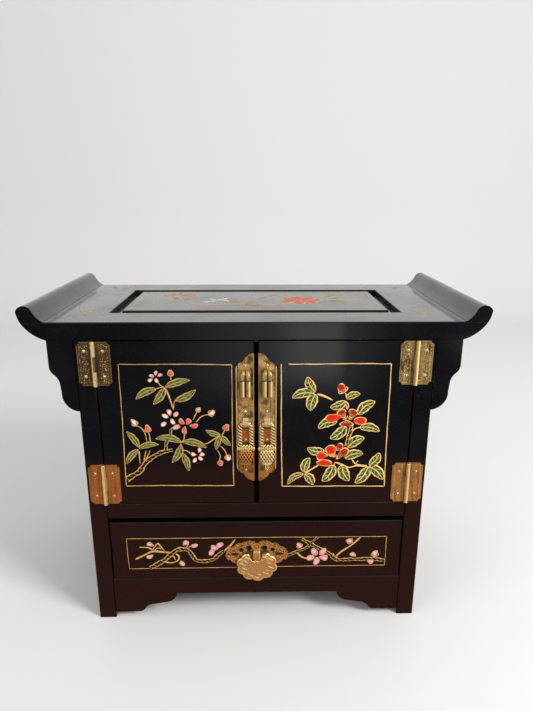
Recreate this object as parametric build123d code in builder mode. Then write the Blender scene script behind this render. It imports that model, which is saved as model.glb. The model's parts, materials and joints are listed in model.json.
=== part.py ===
from build123d import *
import os
from math import cos, radians, sin

# Black lacquer jewellery cabinet shaped like a small altar table: a top with scrolled ends on two
# side boards, a cupboard behind a pair of brass-hinged doors, and one drawer below.
# Millimetres. +X is the right of a person facing it, -Y is the front, +Z is up, the feet are at z = 0.

# Case
case_width = 260.0
case_depth = 160.0
case_height = 238.0
side_thickness = 13.5
back_thickness = 6.0
board_thickness = 6.0
eased_edge = 0.6

# Base: the apron's bracket feet and the same brackets cut in the side boards
foot_clearance = 5.6
foot_flat = 20.6
ogee_run = 8.4
ogee_rise = 6.6
ogee_sag = 0.5
ledge_run = 14.4
ledge_rise = 2.4
ovolo_run = 7.6
ovolo_sag = 1.9
arch_height = 23.1
apron_thickness = 12.0
drawer_floor_top = 37.5

# Drawer
drawer_height = 51.5
drawer_front_thickness = 12.0
drawer_wall = 8.0
drawer_wall_drop = 9.0
drawer_bottom_thickness = 4.0
drawer_bottom_inset = 3.0
groove_depth = 3.0
drawer_side_gap = 0.7
drawer_running_gap = 0.3
drawer_top_gap = 3.7
drawer_back_gap = 0.5

# Middle rail, shelf and linings
rail_height = 13.0
rail_depth = 18.0
shelf_level = 66.0
shelf_setback = 24.0
lining_thickness = 1.5
lining_gap = 0.3
lining_setback = 3.0
stop_height = 5.0
stop_depth = 6.0
stop_gap = 0.4

# Top with its raised panel and scrolled ends
top_thickness = 13.0
top_overhang = 1.0
top_flat_length = 298.0
end_run = 16.4
end_undercut = 16.4
end_bulge = 1.9
cove_run = 7.4
cove_rise = 8.0
cove_sag = 0.9
crown_run = 13.2
crown_rise = 11.6
scroll_lean = 2.2
scroll_tip_rise = 7.6
scroll_bulge = 0.3
opening_length = 222.0
opening_width = 99.0
border_width = 8.0
border_depth = 4.0
panel_ledge = 3.0
panel_gap = 0.3
panel_round = 1.2

# Spandrels under the overhang, measured out from the side board and down from the top
spandrel_thickness = 10.0
spandrel_width = 18.9
spandrel_shoulder = 20.3
spandrel_ovolo = (15.2, 26.6)
spandrel_ovolo_sag = 0.8
spandrel_cavetto = (12.2, 33.0)
spandrel_cavetto_sag = 0.6
spandrel_waist = (11.6, 40.0)
spandrel_height = 54.5
spandrel_toe_sag = 3.8

# Doors
door_thickness = 11.0
door_side_gap = 0.8
door_middle_gap = 3.2
door_bottom_gap = 0.4
door_top_gap = 0.6

# Hinges
leaf_thickness = 0.8
leaf_width = 11.8
leaf_corner = 2.2
hinge_height = 33.0
hinge_inset = 0.6
barrel_radius = 1.6
barrel_lift = 0.1
pin_radius = 0.75
pin_clearance = 0.05
pin_cap_radius = 1.2
pin_cap_height = 0.5
knuckle_gap = 0.15
knuckle_relief = 0.2
leaf_nail_out = 6.6
leaf_nail_spread = 19.0

# Round-headed nails
nail_head_radius = 1.4
nail_head_height = 0.9
nail_shank_radius = 0.5
nail_length = 5.0
nail_clearance = 0.05

# Door plates, their lock staples and the staples that carry the pulls
plate_thickness = 0.8
plate_width = 13.3
plate_height = 102.0
plate_raise = 5.1
plate_crown = 6.5
plate_crown_run = 8.1
plate_shoulder = 5.2
fitting_out = 6.4
plate_nail_drops = (9.2, 44.7, 67.6, 92.4)
lock_drop = 11.2
lock_width = 8.8
lock_slope = 9.5
lock_slope_sag = 0.5
lock_length = 12.6
lock_gap = 2.2
lock_strap = 0.8
lock_foot = 3.2
rib_bulge = 1.6
staple_strap = 0.8
door_staple_width = 4.2
drawer_staple_width = 5.4
staple_clearance = 0.25
staple_toe = 2.0

# Door pulls, hanging from a round bar
pull_drop = 54.2
pull_bar_radius = 1.3
pull_bar_stand = 0.3
pull_thickness = 1.8
pull_window_half = 2.6
pull_window_length = 15.6
pull_arm = 3.1
pull_shoulder_drop = 4.2
pull_shoulder_sag = 0.9
flange_half = 6.7
flange_height = 3.2
flange_neck = 1.6
ear_round = 0.8
bar_inset = 0.6
stem_step = 0.6
vase_neck_half = 4.3
vase_half = 5.9
vase_belly_drop = 4.8
vase_length = 10.6
vase_foot_half = 3.6
stem_half = 1.9
stem_length = 4.1

# Drawer plate with its piercings, and the scalloped drawer pull
cloud_raise = 8.6
cloud_notch = 2.3
cloud_crest_out = 6.5
cloud_lobe = (12.2, 2.4)
cloud_wing_root = (18.4, 5.2)
cloud_wing_root_sag = 1.4
cloud_wing_tip = (24.9, 11.2)
cloud_wing_end = (22.8, 17.8)
cloud_heel_start = (21.1, 16.9)
cloud_heel_belly = (18.9, 19.8)
cloud_heel = (15.8, 20.7)
cloud_waist = (9.0, 17.5)
cloud_waist_sag = 0.8
cloud_foot_drop = 20.4
cloud_foot_sag = 1.2
eye_radius = 1.7
eye_out = 6.1
eye_drop = 6.3
dot_radius = 1.35
dot_out = 12.6
dot_drop = 8.0
slot_length = 4.8
slot_width = 1.3
slot_out = 17.7
slot_drop = 12.0
drawer_nail_out = 16.7
drawer_nail_drop = 16.5
drawer_pivot_drop = 9.8
drawer_bar_radius = 1.1
drawer_bar_half = 10.7
drawer_pull_thickness = 1.8
drawer_pull_half = 14.9
drawer_pull_tall = 12.0
drawer_pull_centre_drop = 10.8
scallop_bulge = 2.5
scallop_count = 7
scallop_start = 46.0
notch_half = 3.4
notch_depth = 6.6
horn_inner = (4.6, -0.8)
horn_tip = (7.9, 0.9)

# Widths and heights that follow
case_half = case_width / 2
inner_half = case_half - side_thickness
rail_bottom = drawer_floor_top + drawer_running_gap + drawer_height + drawer_top_gap
cupboard_floor_top = rail_bottom + rail_height
door_bottom = cupboard_floor_top + door_bottom_gap
door_top = case_height - door_top_gap
door_height = door_top - door_bottom
door_inner = door_middle_gap / 2
door_outer = inner_half - door_side_gap
plate_top = (door_bottom + door_top + plate_height) / 2 + plate_raise
fitting_x = -(door_inner + fitting_out)
top_surface = case_height + top_thickness
hinge_x = -(inner_half - door_side_gap / 2)
hinge_middles = {
    "upper": door_top - hinge_inset - hinge_height / 2,
    "lower": door_bottom + hinge_inset + hinge_height / 2,
}
drawer_bottom_level = drawer_floor_top + drawer_running_gap
drawer_middle = drawer_bottom_level + drawer_height / 2
cloud_top = drawer_middle + cloud_raise

# Depths: how far the fittings stand out, with the whole object centred on y = 0
pull_stand = plate_thickness + pull_bar_stand + pull_bar_radius
drawer_pull_stand = plate_thickness + pull_bar_stand + drawer_bar_radius
lock_reach = plate_thickness + lock_gap + lock_strap + rib_bulge
staple_reach = pull_stand + pull_bar_radius + staple_clearance + staple_strap
fitting_reach = max(lock_reach, staple_reach)
front = fitting_reach - (fitting_reach + case_depth + top_overhang) / 2
back = front + case_depth
back_panel_front = back - back_thickness
lining_front = back_panel_front - lining_thickness
hinge_y = front - barrel_radius - barrel_lift


def before(stand):
    """Plane parallel to the case front, facing the viewer and standing out from it."""
    return Plane.XZ.offset(stand - front)


def hung_at(x, z, stand):
    """Plane facing the viewer, with its origin where a pull hangs."""
    return Plane(origin=(x, front - stand, z), x_dir=(1, 0, 0), z_dir=(0, -1, 0))


def save(piece, name):
    """Names a finished piece and writes it."""
    piece.part.label = name
    export_step(piece.part, f"parts/{name}.step")


def save_pair(piece, name):
    """Writes a left-hand piece and its mirror image as the right-hand one."""
    with BuildPart() as twin:
        mirror(piece.part, about=Plane.YZ)
    save(piece, f"left_{name}")
    save(twin, f"right_{name}")


def board(x_range, y_range, z_range):
    """Plain rectangular board between three pairs of limits."""
    with BuildPart() as plain:
        with BuildSketch(Plane.XY.offset(z_range[0])):
            with Locations((sum(x_range) / 2, sum(y_range) / 2)):
                Rectangle(x_range[1] - x_range[0], y_range[1] - y_range[0])
        extrude(amount=z_range[1] - z_range[0])
    return plain.part


def ease_front(width=eased_edge):
    """Eases the four edges of the foremost face of the piece being built."""
    foremost = faces(Select.ALL).sort_by(Axis.Y)[0]
    chamfer(foremost.outer_wire().edges(), length=width)


def arch(clear_half, lower_edge):
    """Cut under a board that leaves a bracket foot at each end, shaped as an ogee, a ledge and an ovolo."""
    toe = clear_half - foot_flat
    ogee_middle = (toe - ogee_run / 2, foot_clearance + ogee_rise / 2)
    ogee_end = (toe - ogee_run, foot_clearance + ogee_rise)
    ledge_end = (ogee_end[0] - ledge_run, ogee_end[1] + ledge_rise)
    ovolo_end = (ledge_end[0] - ovolo_run, arch_height)
    with BuildSketch() as cut:
        with BuildLine():
            Polyline((0, lower_edge - 1), (toe, lower_edge - 1), (toe, foot_clearance))
            SagittaArc((toe, foot_clearance), ogee_middle, ogee_sag)
            SagittaArc(ogee_middle, ogee_end, -ogee_sag)
            Line(ogee_end, ledge_end)
            SagittaArc(ledge_end, ovolo_end, ovolo_sag)
            Line(ovolo_end, (0, arch_height))
            mirror(about=Plane.YZ)
        make_face()
    return cut.sketch


def nail(x, z, seat):
    """Round-headed nail with its head on a surface that stands out by seat."""
    surface = Plane(origin=(x, front - seat, z), x_dir=(1, 0, 0), z_dir=(0, 0, 1))
    with BuildPart() as body:
        with BuildSketch(surface):
            with BuildLine():
                Polyline((nail_head_radius, 0), (nail_shank_radius, 0), (nail_shank_radius, nail_length),
                         (0, nail_length), (0, -nail_head_height))
                RadiusArc((0, -nail_head_height), (nail_head_radius, 0), dome_radius)
            make_face()
        revolve(axis=Axis(surface.origin, (0, 1, 0)))
    return body.part


def staple(x, z, stand, bar_radius, width):
    """Strap bent round a bar, with both ends on the plate and a sloping toe above."""
    bore = bar_radius + staple_clearance
    outer = bore + staple_strap
    seat = stand - plate_thickness
    flank = Plane(origin=(x - width / 2, front - stand, z), x_dir=(0, -1, 0), z_dir=(-1, 0, 0))
    with BuildPart() as strap:
        with BuildSketch(flank):
            Circle(outer)
            with Locations((-seat - outer, 0)):
                Rectangle(2 * outer, 2 * outer, mode=Mode.SUBTRACT)
            with Locations((-seat / 2, 0)):
                Rectangle(seat, 2 * outer)
            with BuildLine():
                Polyline((0, outer), (-seat, outer + staple_toe), (-seat, 0), (0, 0), close=True)
            make_face()
            Circle(bore, mode=Mode.SUBTRACT)
            with Locations((-seat / 2, 0)):
                Rectangle(seat, 2 * bore, mode=Mode.SUBTRACT)
        extrude(amount=-width)
    return strap.part


dome_radius = (nail_head_radius ** 2 + nail_head_height ** 2) / (2 * nail_head_height)
nail_hole = nail_shank_radius + nail_clearance
case_leaf_nails = []
door_leaf_nails = []
for hinge_z in hinge_middles.values():
    for rise in (-leaf_nail_spread / 2, leaf_nail_spread / 2):
        case_leaf_nails.append((hinge_x - leaf_nail_out, hinge_z + rise))
        door_leaf_nails.append((hinge_x + leaf_nail_out, hinge_z + rise))
plate_nails = [(fitting_x, plate_top - drop) for drop in plate_nail_drops]
drawer_nails = [(side * drawer_nail_out, cloud_top - drawer_nail_drop) for side in (-1, 1)]

os.makedirs("parts", exist_ok=True)

# Side boards: full height, cut below into a front foot and a back foot
with BuildPart() as side_board:
    with BuildSketch(Plane.YZ.offset(-case_half)):
        with Locations(((front + back) / 2, case_height / 2)):
            Rectangle(case_depth, case_height)
        with Locations(((front + back) / 2, 0)):
            add(arch(case_depth / 2, 0), mode=Mode.SUBTRACT)
    extrude(amount=side_thickness)
    long_edges = side_board.edges().filter_by(Axis.Z).filter_by(lambda edge: edge.length > case_height / 2)
    chamfer(long_edges, length=eased_edge)
    with BuildSketch(before(0)):
        with Locations(*case_leaf_nails):
            Circle(nail_hole)
    extrude(amount=-nail_length, mode=Mode.SUBTRACT)
save_pair(side_board, "side_board")

# Back panel, let in flush between the side boards
with BuildPart() as back_panel:
    add(board((-inner_half, inner_half), (back_panel_front, back), (arch_height, case_height)))
save(back_panel, "back_panel")

# Apron with its bracket feet
with BuildPart() as front_apron:
    with BuildSketch(before(-apron_thickness)):
        with Locations((0, (foot_clearance + drawer_floor_top) / 2)):
            Rectangle(2 * inner_half, drawer_floor_top - foot_clearance)
        add(arch(inner_half, foot_clearance), mode=Mode.SUBTRACT)
    extrude(amount=apron_thickness)
    chamfer(front_apron.faces().sort_by(Axis.Z)[-1].edges().filter_by(Axis.X).sort_by(Axis.Y)[0],
            length=eased_edge)
save(front_apron, "front_apron")

# Board that the drawer slides on
with BuildPart() as drawer_floor:
    add(board((-inner_half, inner_half), (front + apron_thickness, back_panel_front),
              (drawer_floor_top - board_thickness, drawer_floor_top)))
save(drawer_floor, "drawer_floor")

# Rail between the doors and the drawer, and the cupboard floor behind it
with BuildPart() as middle_rail:
    add(board((-inner_half, inner_half), (front, front + rail_depth), (rail_bottom, cupboard_floor_top)))
    ease_front()
save(middle_rail, "middle_rail")

with BuildPart() as cupboard_floor:
    add(board((-inner_half, inner_half), (front + rail_depth, back_panel_front),
              (cupboard_floor_top - board_thickness, cupboard_floor_top)))
save(cupboard_floor, "cupboard_floor")

# Shelf, set back to clear the doors
shelf_bottom = cupboard_floor_top + shelf_level - board_thickness
with BuildPart() as shelf:
    add(board((-inner_half, inner_half), (front + shelf_setback, lining_front),
              (shelf_bottom, shelf_bottom + board_thickness)))
    ease_front()
save(shelf, "shelf")

# Strip under the top that the closed doors rest against
with BuildPart() as door_stop:
    stop_front = front + door_thickness + stop_gap
    add(board((-inner_half, inner_half), (stop_front, stop_front + stop_depth),
              (case_height - stop_height, case_height)))
save(door_stop, "door_stop")

# Fabric linings
lining_half = inner_half - lining_gap
with BuildPart() as back_lining:
    add(board((-lining_half, lining_half), (lining_front, back_panel_front),
              (cupboard_floor_top, case_height - lining_gap)))
save(back_lining, "back_lining")

floor_lining_front = front + door_thickness + lining_setback
with BuildPart() as floor_lining:
    add(board((-lining_half, lining_half), (floor_lining_front, lining_front - lining_gap),
              (cupboard_floor_top, cupboard_floor_top + lining_thickness)))
save(floor_lining, "floor_lining")

shelf_top = shelf_bottom + board_thickness
with BuildPart() as shelf_lining:
    add(board((-lining_half, lining_half), (front + shelf_setback + lining_setback, lining_front - lining_gap),
              (shelf_top, shelf_top + lining_thickness)))
save(shelf_lining, "shelf_lining")

# Top: one board with curved-under ends, open in the middle over a narrow ledge
top_half = top_flat_length / 2
top_end = top_half + end_run
top_front = front - top_overhang
top_back = back + top_overhang
under_end = top_end - end_undercut
with BuildPart() as top_frame:
    with BuildSketch(Plane.XZ.offset(-top_back)):
        with BuildLine():
            Line((0, case_height), (under_end, case_height))
            SagittaArc((under_end, case_height), (top_end, top_surface), -end_bulge)
            Line((top_end, top_surface), (0, top_surface))
            mirror(about=Plane.YZ)
        make_face()
    extrude(amount=top_back - top_front)
    with BuildSketch(Plane.XY.offset(top_surface)):
        with Locations((0, (front + back) / 2)):
            Rectangle(opening_length, opening_width)
    extrude(amount=panel_ledge - top_thickness, mode=Mode.SUBTRACT)
    with BuildSketch(Plane.XY.offset(case_height)):
        with Locations((0, (front + back) / 2)):
            Rectangle(opening_length - 2 * border_width, opening_width - 2 * border_width)
    extrude(amount=panel_ledge, mode=Mode.SUBTRACT)
    rim = top_frame.faces().sort_by(Axis.Z)[-1]
    chamfer(rim.outer_wire().edges().filter_by(Axis.X), length=eased_edge)
    chamfer(top_frame.faces().sort_by(Axis.Z)[-1].inner_wires()[0].edges(), length=eased_edge)
save(top_frame, "top_frame")

# Raised panel: its tongue lies on the ledge, its field comes up flush with the frame
field_length = opening_length - 2 * border_width
field_width = opening_width - 2 * border_width
with BuildPart() as top_panel:
    with BuildSketch(Plane.XY.offset(case_height + panel_ledge)):
        with Locations((0, (front + back) / 2)):
            Rectangle(opening_length - 2 * panel_gap, opening_width - 2 * panel_gap)
    extrude(amount=top_thickness - panel_ledge - border_depth)
    with BuildSketch(Plane.XY.offset(top_surface - border_depth)):
        with Locations((0, (front + back) / 2)):
            Rectangle(field_length, field_width)
    extrude(amount=border_depth)
    fillet(top_panel.faces().sort_by(Axis.Z)[-1].edges(), radius=panel_round)
save(top_panel, "top_panel")

# Scrolls, glued on the ends of the top: a cove, a rolled crown and an outer face that leans out
with BuildPart() as scroll:
    scroll_foot = (-top_half, top_surface)
    cove_top = (-top_half - cove_run, top_surface + cove_rise)
    crown = (-top_half - crown_run, top_surface + crown_rise)
    scroll_tip = (-top_end - scroll_lean, top_surface + scroll_tip_rise)
    scroll_heel = (-top_end, top_surface)
    with BuildSketch(Plane.XZ.offset(-top_back)):
        with BuildLine():
            SagittaArc(scroll_foot, cove_top, cove_sag)
            ThreePointArc(cove_top, crown, scroll_tip)
            SagittaArc(scroll_tip, scroll_heel, -scroll_bulge)
            Line(scroll_heel, scroll_foot)
        make_face()
    extrude(amount=top_back - top_front)
save_pair(scroll, "scroll")


def under_top(out, down):
    """Point on a left-hand spandrel, measured out from the side board and down from the top."""
    return (-case_half - out, case_height - down)


# Spandrels, one at each corner under the overhang
for place, spandrel_back in (("front", front + spandrel_thickness), ("rear", back)):
    with BuildPart() as spandrel:
        with BuildSketch(Plane.XZ.offset(-spandrel_back)):
            with BuildLine():
                Polyline(under_top(0, spandrel_height), under_top(0, 0), under_top(spandrel_width, 0),
                         under_top(spandrel_width, spandrel_shoulder))
                SagittaArc(under_top(spandrel_width, spandrel_shoulder), under_top(*spandrel_ovolo),
                           -spandrel_ovolo_sag)
                SagittaArc(under_top(*spandrel_ovolo), under_top(*spandrel_cavetto), spandrel_cavetto_sag)
                Line(under_top(*spandrel_cavetto), under_top(*spandrel_waist))
                SagittaArc(under_top(*spandrel_waist), under_top(0, spandrel_height), -spandrel_toe_sag)
            make_face()
        extrude(amount=spandrel_thickness)
    save_pair(spandrel, f"{place}_spandrel")

# Doors
with BuildPart() as door:
    with BuildSketch(before(-door_thickness)):
        with Locations((-(door_inner + door_outer) / 2, (door_bottom + door_top) / 2)):
            Rectangle(door_outer - door_inner, door_height)
    extrude(amount=door_thickness)
    ease_front()
    with BuildSketch(before(0)):
        with Locations(*door_leaf_nails, *plate_nails):
            Circle(nail_hole)
    extrude(amount=-nail_length, mode=Mode.SUBTRACT)
save_pair(door, "door")


def leaf(middle, outward, spaces):
    """Hinge leaf with clipped corners, cut away in the spaces left for the other leaf's knuckles."""
    low = middle - hinge_height / 2
    high = middle + hinge_height / 2
    tip = hinge_x + outward * leaf_width
    clip = tip - outward * leaf_corner
    relief = barrel_radius + knuckle_relief
    with BuildPart() as plate:
        with BuildSketch(before(0)):
            with BuildLine():
                Polyline((hinge_x, low), (clip, low))
                SagittaArc((clip, low), (tip, low + leaf_corner), outward * leaf_corner / 4)
                Line((tip, low + leaf_corner), (tip, high - leaf_corner))
                SagittaArc((tip, high - leaf_corner), (clip, high), outward * leaf_corner / 4)
                Polyline((clip, high), (hinge_x, high), (hinge_x, low))
            make_face()
        extrude(amount=leaf_thickness)
        with BuildSketch(Plane.XY.offset(low)):
            with Locations((hinge_x + outward * barrel_radius / 2, front - leaf_thickness / 2)):
                Rectangle(barrel_radius, leaf_thickness)
            with Locations((hinge_x, hinge_y)):
                Circle(barrel_radius)
        extrude(amount=hinge_height)
        for start, end in spaces:
            with BuildSketch(Plane.XY.offset(low + start)):
                with Locations((hinge_x, hinge_y)):
                    Rectangle(2 * relief, 4 * relief)
            extrude(amount=end - start, mode=Mode.SUBTRACT)
        with BuildSketch(Plane.XY.offset(low)):
            with Locations((hinge_x, hinge_y)):
                Circle(pin_radius + pin_clearance)
        extrude(amount=hinge_height, mode=Mode.SUBTRACT)
        with BuildSketch(before(0)):
            for rise in (-leaf_nail_spread / 2, leaf_nail_spread / 2):
                with Locations((hinge_x + outward * leaf_nail_out, middle + rise)):
                    Circle(nail_hole)
        extrude(amount=leaf_thickness, mode=Mode.SUBTRACT)
    return plate.part


third = hinge_height / 3
case_leaf_spaces = [(third - knuckle_gap / 2, 2 * third + knuckle_gap / 2)]
door_leaf_spaces = [(0, third + knuckle_gap / 2), (2 * third - knuckle_gap / 2, hinge_height)]

# Hinges: a leaf nailed to the side board, a leaf nailed to the door and the pin through both
for level, middle in hinge_middles.items():
    with BuildPart() as case_leaf:
        add(leaf(middle, -1, case_leaf_spaces))
    save_pair(case_leaf, f"{level}_case_leaf")

    with BuildPart() as door_leaf:
        add(leaf(middle, 1, door_leaf_spaces))
    save_pair(door_leaf, f"{level}_door_leaf")

    with BuildPart() as hinge_pin:
        with BuildSketch(Plane.XY.offset(middle - hinge_height / 2)):
            with Locations((hinge_x, hinge_y)):
                Circle(pin_radius)
        extrude(amount=hinge_height)
        for cap_plane in (Plane.XY.offset(middle + hinge_height / 2),
                          Plane.XY.offset(middle - hinge_height / 2 - pin_cap_height)):
            with BuildSketch(cap_plane):
                with Locations((hinge_x, hinge_y)):
                    Circle(pin_cap_radius)
            extrude(amount=pin_cap_height)
    save_pair(hinge_pin, f"{level}_pin")

with BuildPart() as case_nails:
    for x, z in case_leaf_nails:
        add(nail(x, z, leaf_thickness))
save_pair(case_nails, "case_nails")

with BuildPart() as door_nails:
    for x, z in door_leaf_nails:
        add(nail(x, z, leaf_thickness))
    for x, z in plate_nails:
        add(nail(x, z, plate_thickness))
save_pair(door_nails, "door_nails")

# Door plates: straight along the meeting edge, lobed at the top and the bottom
with BuildPart() as door_plate:
    edge = -door_inner
    outside = edge - plate_width
    middle_z = plate_top - plate_height / 2
    crown_foot = (edge - plate_crown_run, plate_top - plate_crown)
    shoulder_foot = (outside, plate_top - plate_crown - plate_shoulder)
    with BuildSketch(before(0)):
        with BuildLine():
            Line((edge, middle_z), (edge, plate_top))
            SagittaArc((edge, plate_top), crown_foot, -plate_crown / 4)
            SagittaArc(crown_foot, shoulder_foot, -plate_shoulder / 4)
            Line(shoulder_foot, (outside, middle_z))
            mirror(about=Plane.XZ.offset(-middle_z))
        make_face()
        with Locations(*plate_nails):
            Circle(nail_hole, mode=Mode.SUBTRACT)
    extrude(amount=plate_thickness)
save_pair(door_plate, "door_plate")

# Lock staples: a strap that slopes out of the plate, stands off it and turns back in,
# with two half-round ribs down its face
with BuildPart() as lock_staple:
    lock_top = plate_top - lock_drop
    lock_brow = lock_top - lock_slope
    lock_foot_z = lock_brow - lock_length
    proud = lock_gap + lock_strap
    flank = Plane(origin=(fitting_x - lock_width / 2, front - plate_thickness, 0), x_dir=(0, -1, 0),
                  z_dir=(-1, 0, 0))
    with BuildSketch(flank):
        with BuildLine():
            Polyline((0, lock_foot_z), (0, lock_top))
            SagittaArc((0, lock_top), (proud, lock_brow), -lock_slope_sag)
            Polyline((proud, lock_brow), (proud, lock_foot_z), (0, lock_foot_z))
        make_face()
        with BuildLine():
            Polyline((0, lock_top - lock_foot), (lock_gap, lock_brow - lock_strap),
                     (lock_gap, lock_foot_z + 2 * lock_strap), (0, lock_foot_z + 2 * lock_strap), close=True)
        make_face(mode=Mode.SUBTRACT)
    extrude(amount=-lock_width)
    for across in (-lock_width / 4, lock_width / 4):
        with BuildSketch(Plane.XY.offset(lock_foot_z)):
            with BuildLine():
                left_side = (fitting_x + across - lock_width / 4, front - plate_thickness - proud)
                right_side = (fitting_x + across + lock_width / 4, front - plate_thickness - proud)
                SagittaArc(left_side, right_side, -rib_bulge)
                Line(right_side, left_side)
            make_face()
        extrude(amount=lock_length)
save_pair(lock_staple, "lock_staple")

# Staples that the pulls hang in
pull_z = plate_top - pull_drop
with BuildPart() as pull_staple:
    add(staple(fitting_x, pull_z, pull_stand, pull_bar_radius, door_staple_width))
save_pair(pull_staple, "pull_staple")

# Door pulls: round bar, two arms round a window, eared flange, vase-shaped drop and stem
with BuildPart() as door_pull:
    arm_out = pull_window_half + pull_arm
    window_end = -pull_bar_radius - pull_window_length
    flange_top = window_end - flange_neck
    flange_end = flange_top - flange_height
    vase_middle = flange_end - vase_belly_drop
    vase_end = flange_end - vase_length
    ear = flange_half - ear_round
    bar_half = arm_out - bar_inset
    with BuildSketch(hung_at(fitting_x, pull_z, pull_stand - pull_thickness / 2)):
        with BuildLine():
            Line((0, 0), (bar_half, 0))
            SagittaArc((bar_half, 0), (arm_out, -pull_shoulder_drop), pull_shoulder_sag)
            Polyline((arm_out, -pull_shoulder_drop), (arm_out, flange_top), (ear, flange_top))
            SagittaArc((ear, flange_top), (ear, flange_end), flange_half - ear)
            Line((ear, flange_end), (vase_neck_half, flange_end))
            ThreePointArc((vase_neck_half, flange_end), (vase_half, vase_middle), (vase_foot_half, vase_end))
            Line((vase_foot_half, vase_end), (stem_half, vase_end - stem_step))
            SagittaArc((stem_half, vase_end - stem_step), (0, vase_end - stem_length), stem_step)
            mirror(about=Plane.YZ)
        make_face()
        with Locations((0, window_end / 2)):
            Rectangle(2 * pull_window_half, -window_end, mode=Mode.SUBTRACT)
    extrude(amount=pull_thickness)
    with BuildSketch(Plane.YZ.offset(fitting_x - bar_half)):
        with Locations((front - pull_stand, pull_z)):
            Circle(pull_bar_radius)
    extrude(amount=2 * bar_half)
save_pair(door_pull, "door_pull")

# Drawer box: front, two sides, back and a bottom let into grooves
drawer_half = inner_half - drawer_side_gap
drawer_back = back_panel_front - drawer_back_gap
wall_top = drawer_bottom_level + drawer_height - drawer_wall_drop
box_front = front + drawer_front_thickness
bottom_level = drawer_bottom_level + drawer_bottom_inset
tray = ((-drawer_half + drawer_wall - groove_depth, drawer_half - drawer_wall + groove_depth),
        (box_front - groove_depth, drawer_back - drawer_wall + groove_depth),
        (bottom_level, bottom_level + drawer_bottom_thickness))

with BuildPart() as drawer_front:
    add(board((-drawer_half, drawer_half), (front, box_front),
              (drawer_bottom_level, drawer_bottom_level + drawer_height)))
    ease_front()
    add(board(*tray), mode=Mode.SUBTRACT)
    with BuildSketch(before(0)):
        with Locations(*drawer_nails):
            Circle(nail_hole)
    extrude(amount=-nail_length, mode=Mode.SUBTRACT)
save(drawer_front, "drawer_front")

with BuildPart() as drawer_side:
    add(board((-drawer_half, -drawer_half + drawer_wall), (box_front, drawer_back),
              (drawer_bottom_level, wall_top)))
    add(board(*tray), mode=Mode.SUBTRACT)
save_pair(drawer_side, "drawer_side")

with BuildPart() as drawer_back_board:
    add(board((-drawer_half + drawer_wall, drawer_half - drawer_wall),
              (drawer_back - drawer_wall, drawer_back), (drawer_bottom_level, wall_top)))
    add(board(*tray), mode=Mode.SUBTRACT)
save(drawer_back_board, "drawer_back")

with BuildPart() as drawer_bottom:
    add(board(*tray))
save(drawer_bottom, "drawer_bottom")

with BuildPart() as drawer_lining:
    lining_side = drawer_half - drawer_wall - lining_gap
    add(board((-lining_side, lining_side), (box_front + lining_gap, drawer_back - drawer_wall - lining_gap),
              (tray[2][1], tray[2][1] + lining_thickness)))
save(drawer_lining, "drawer_lining")


def on_cloud(out, down):
    """Point on the right half of the drawer plate, measured down from its highest point."""
    return (out, cloud_top - down)


# Drawer plate: a cloud-shaped back plate, lobed along the top and pierced
with BuildPart() as drawer_plate:
    with BuildSketch(before(0)):
        with BuildLine():
            ThreePointArc(on_cloud(0, cloud_notch), on_cloud(cloud_crest_out, 0), on_cloud(*cloud_lobe))
            SagittaArc(on_cloud(*cloud_lobe), on_cloud(*cloud_wing_root), cloud_wing_root_sag)
            ThreePointArc(on_cloud(*cloud_wing_root), on_cloud(*cloud_wing_tip), on_cloud(*cloud_wing_end))
            Line(on_cloud(*cloud_wing_end), on_cloud(*cloud_heel_start))
            ThreePointArc(on_cloud(*cloud_heel_start), on_cloud(*cloud_heel_belly), on_cloud(*cloud_heel))
            SagittaArc(on_cloud(*cloud_heel), on_cloud(*cloud_waist), -cloud_waist_sag)
            SagittaArc(on_cloud(*cloud_waist), on_cloud(0, cloud_foot_drop), cloud_foot_sag)
            mirror(about=Plane.YZ)
        make_face()
        for way in (-1, 1):
            with Locations(on_cloud(way * eye_out, eye_drop)):
                Circle(eye_radius, mode=Mode.SUBTRACT)
            with Locations(on_cloud(way * dot_out, dot_drop)):
                Circle(dot_radius, mode=Mode.SUBTRACT)
            with Locations(on_cloud(way * slot_out, slot_drop)):
                SlotOverall(slot_length, slot_width, mode=Mode.SUBTRACT)
        with Locations(*drawer_nails):
            Circle(nail_hole, mode=Mode.SUBTRACT)
    extrude(amount=plate_thickness)
save(drawer_plate, "drawer_plate")

with BuildPart() as drawer_nail_pair:
    for x, z in drawer_nails:
        add(nail(x, z, plate_thickness))
save(drawer_nail_pair, "drawer_nails")

drawer_pivot_z = cloud_top - drawer_pivot_drop
with BuildPart() as drawer_staple:
    add(staple(0, drawer_pivot_z, drawer_pull_stand, drawer_bar_radius, drawer_staple_width))
save(drawer_staple, "drawer_staple")


def scallop_points():
    """Points between the scallops, on an ellipse round the lower part of the drawer pull."""
    sweep = 180 + 2 * scallop_start
    points = []
    for step in range(scallop_count + 1):
        angle = radians(scallop_start - sweep * step / scallop_count)
        points.append((drawer_pull_half * cos(angle),
                       drawer_pull_tall * sin(angle) - drawer_pull_centre_drop))
    return points


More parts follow.
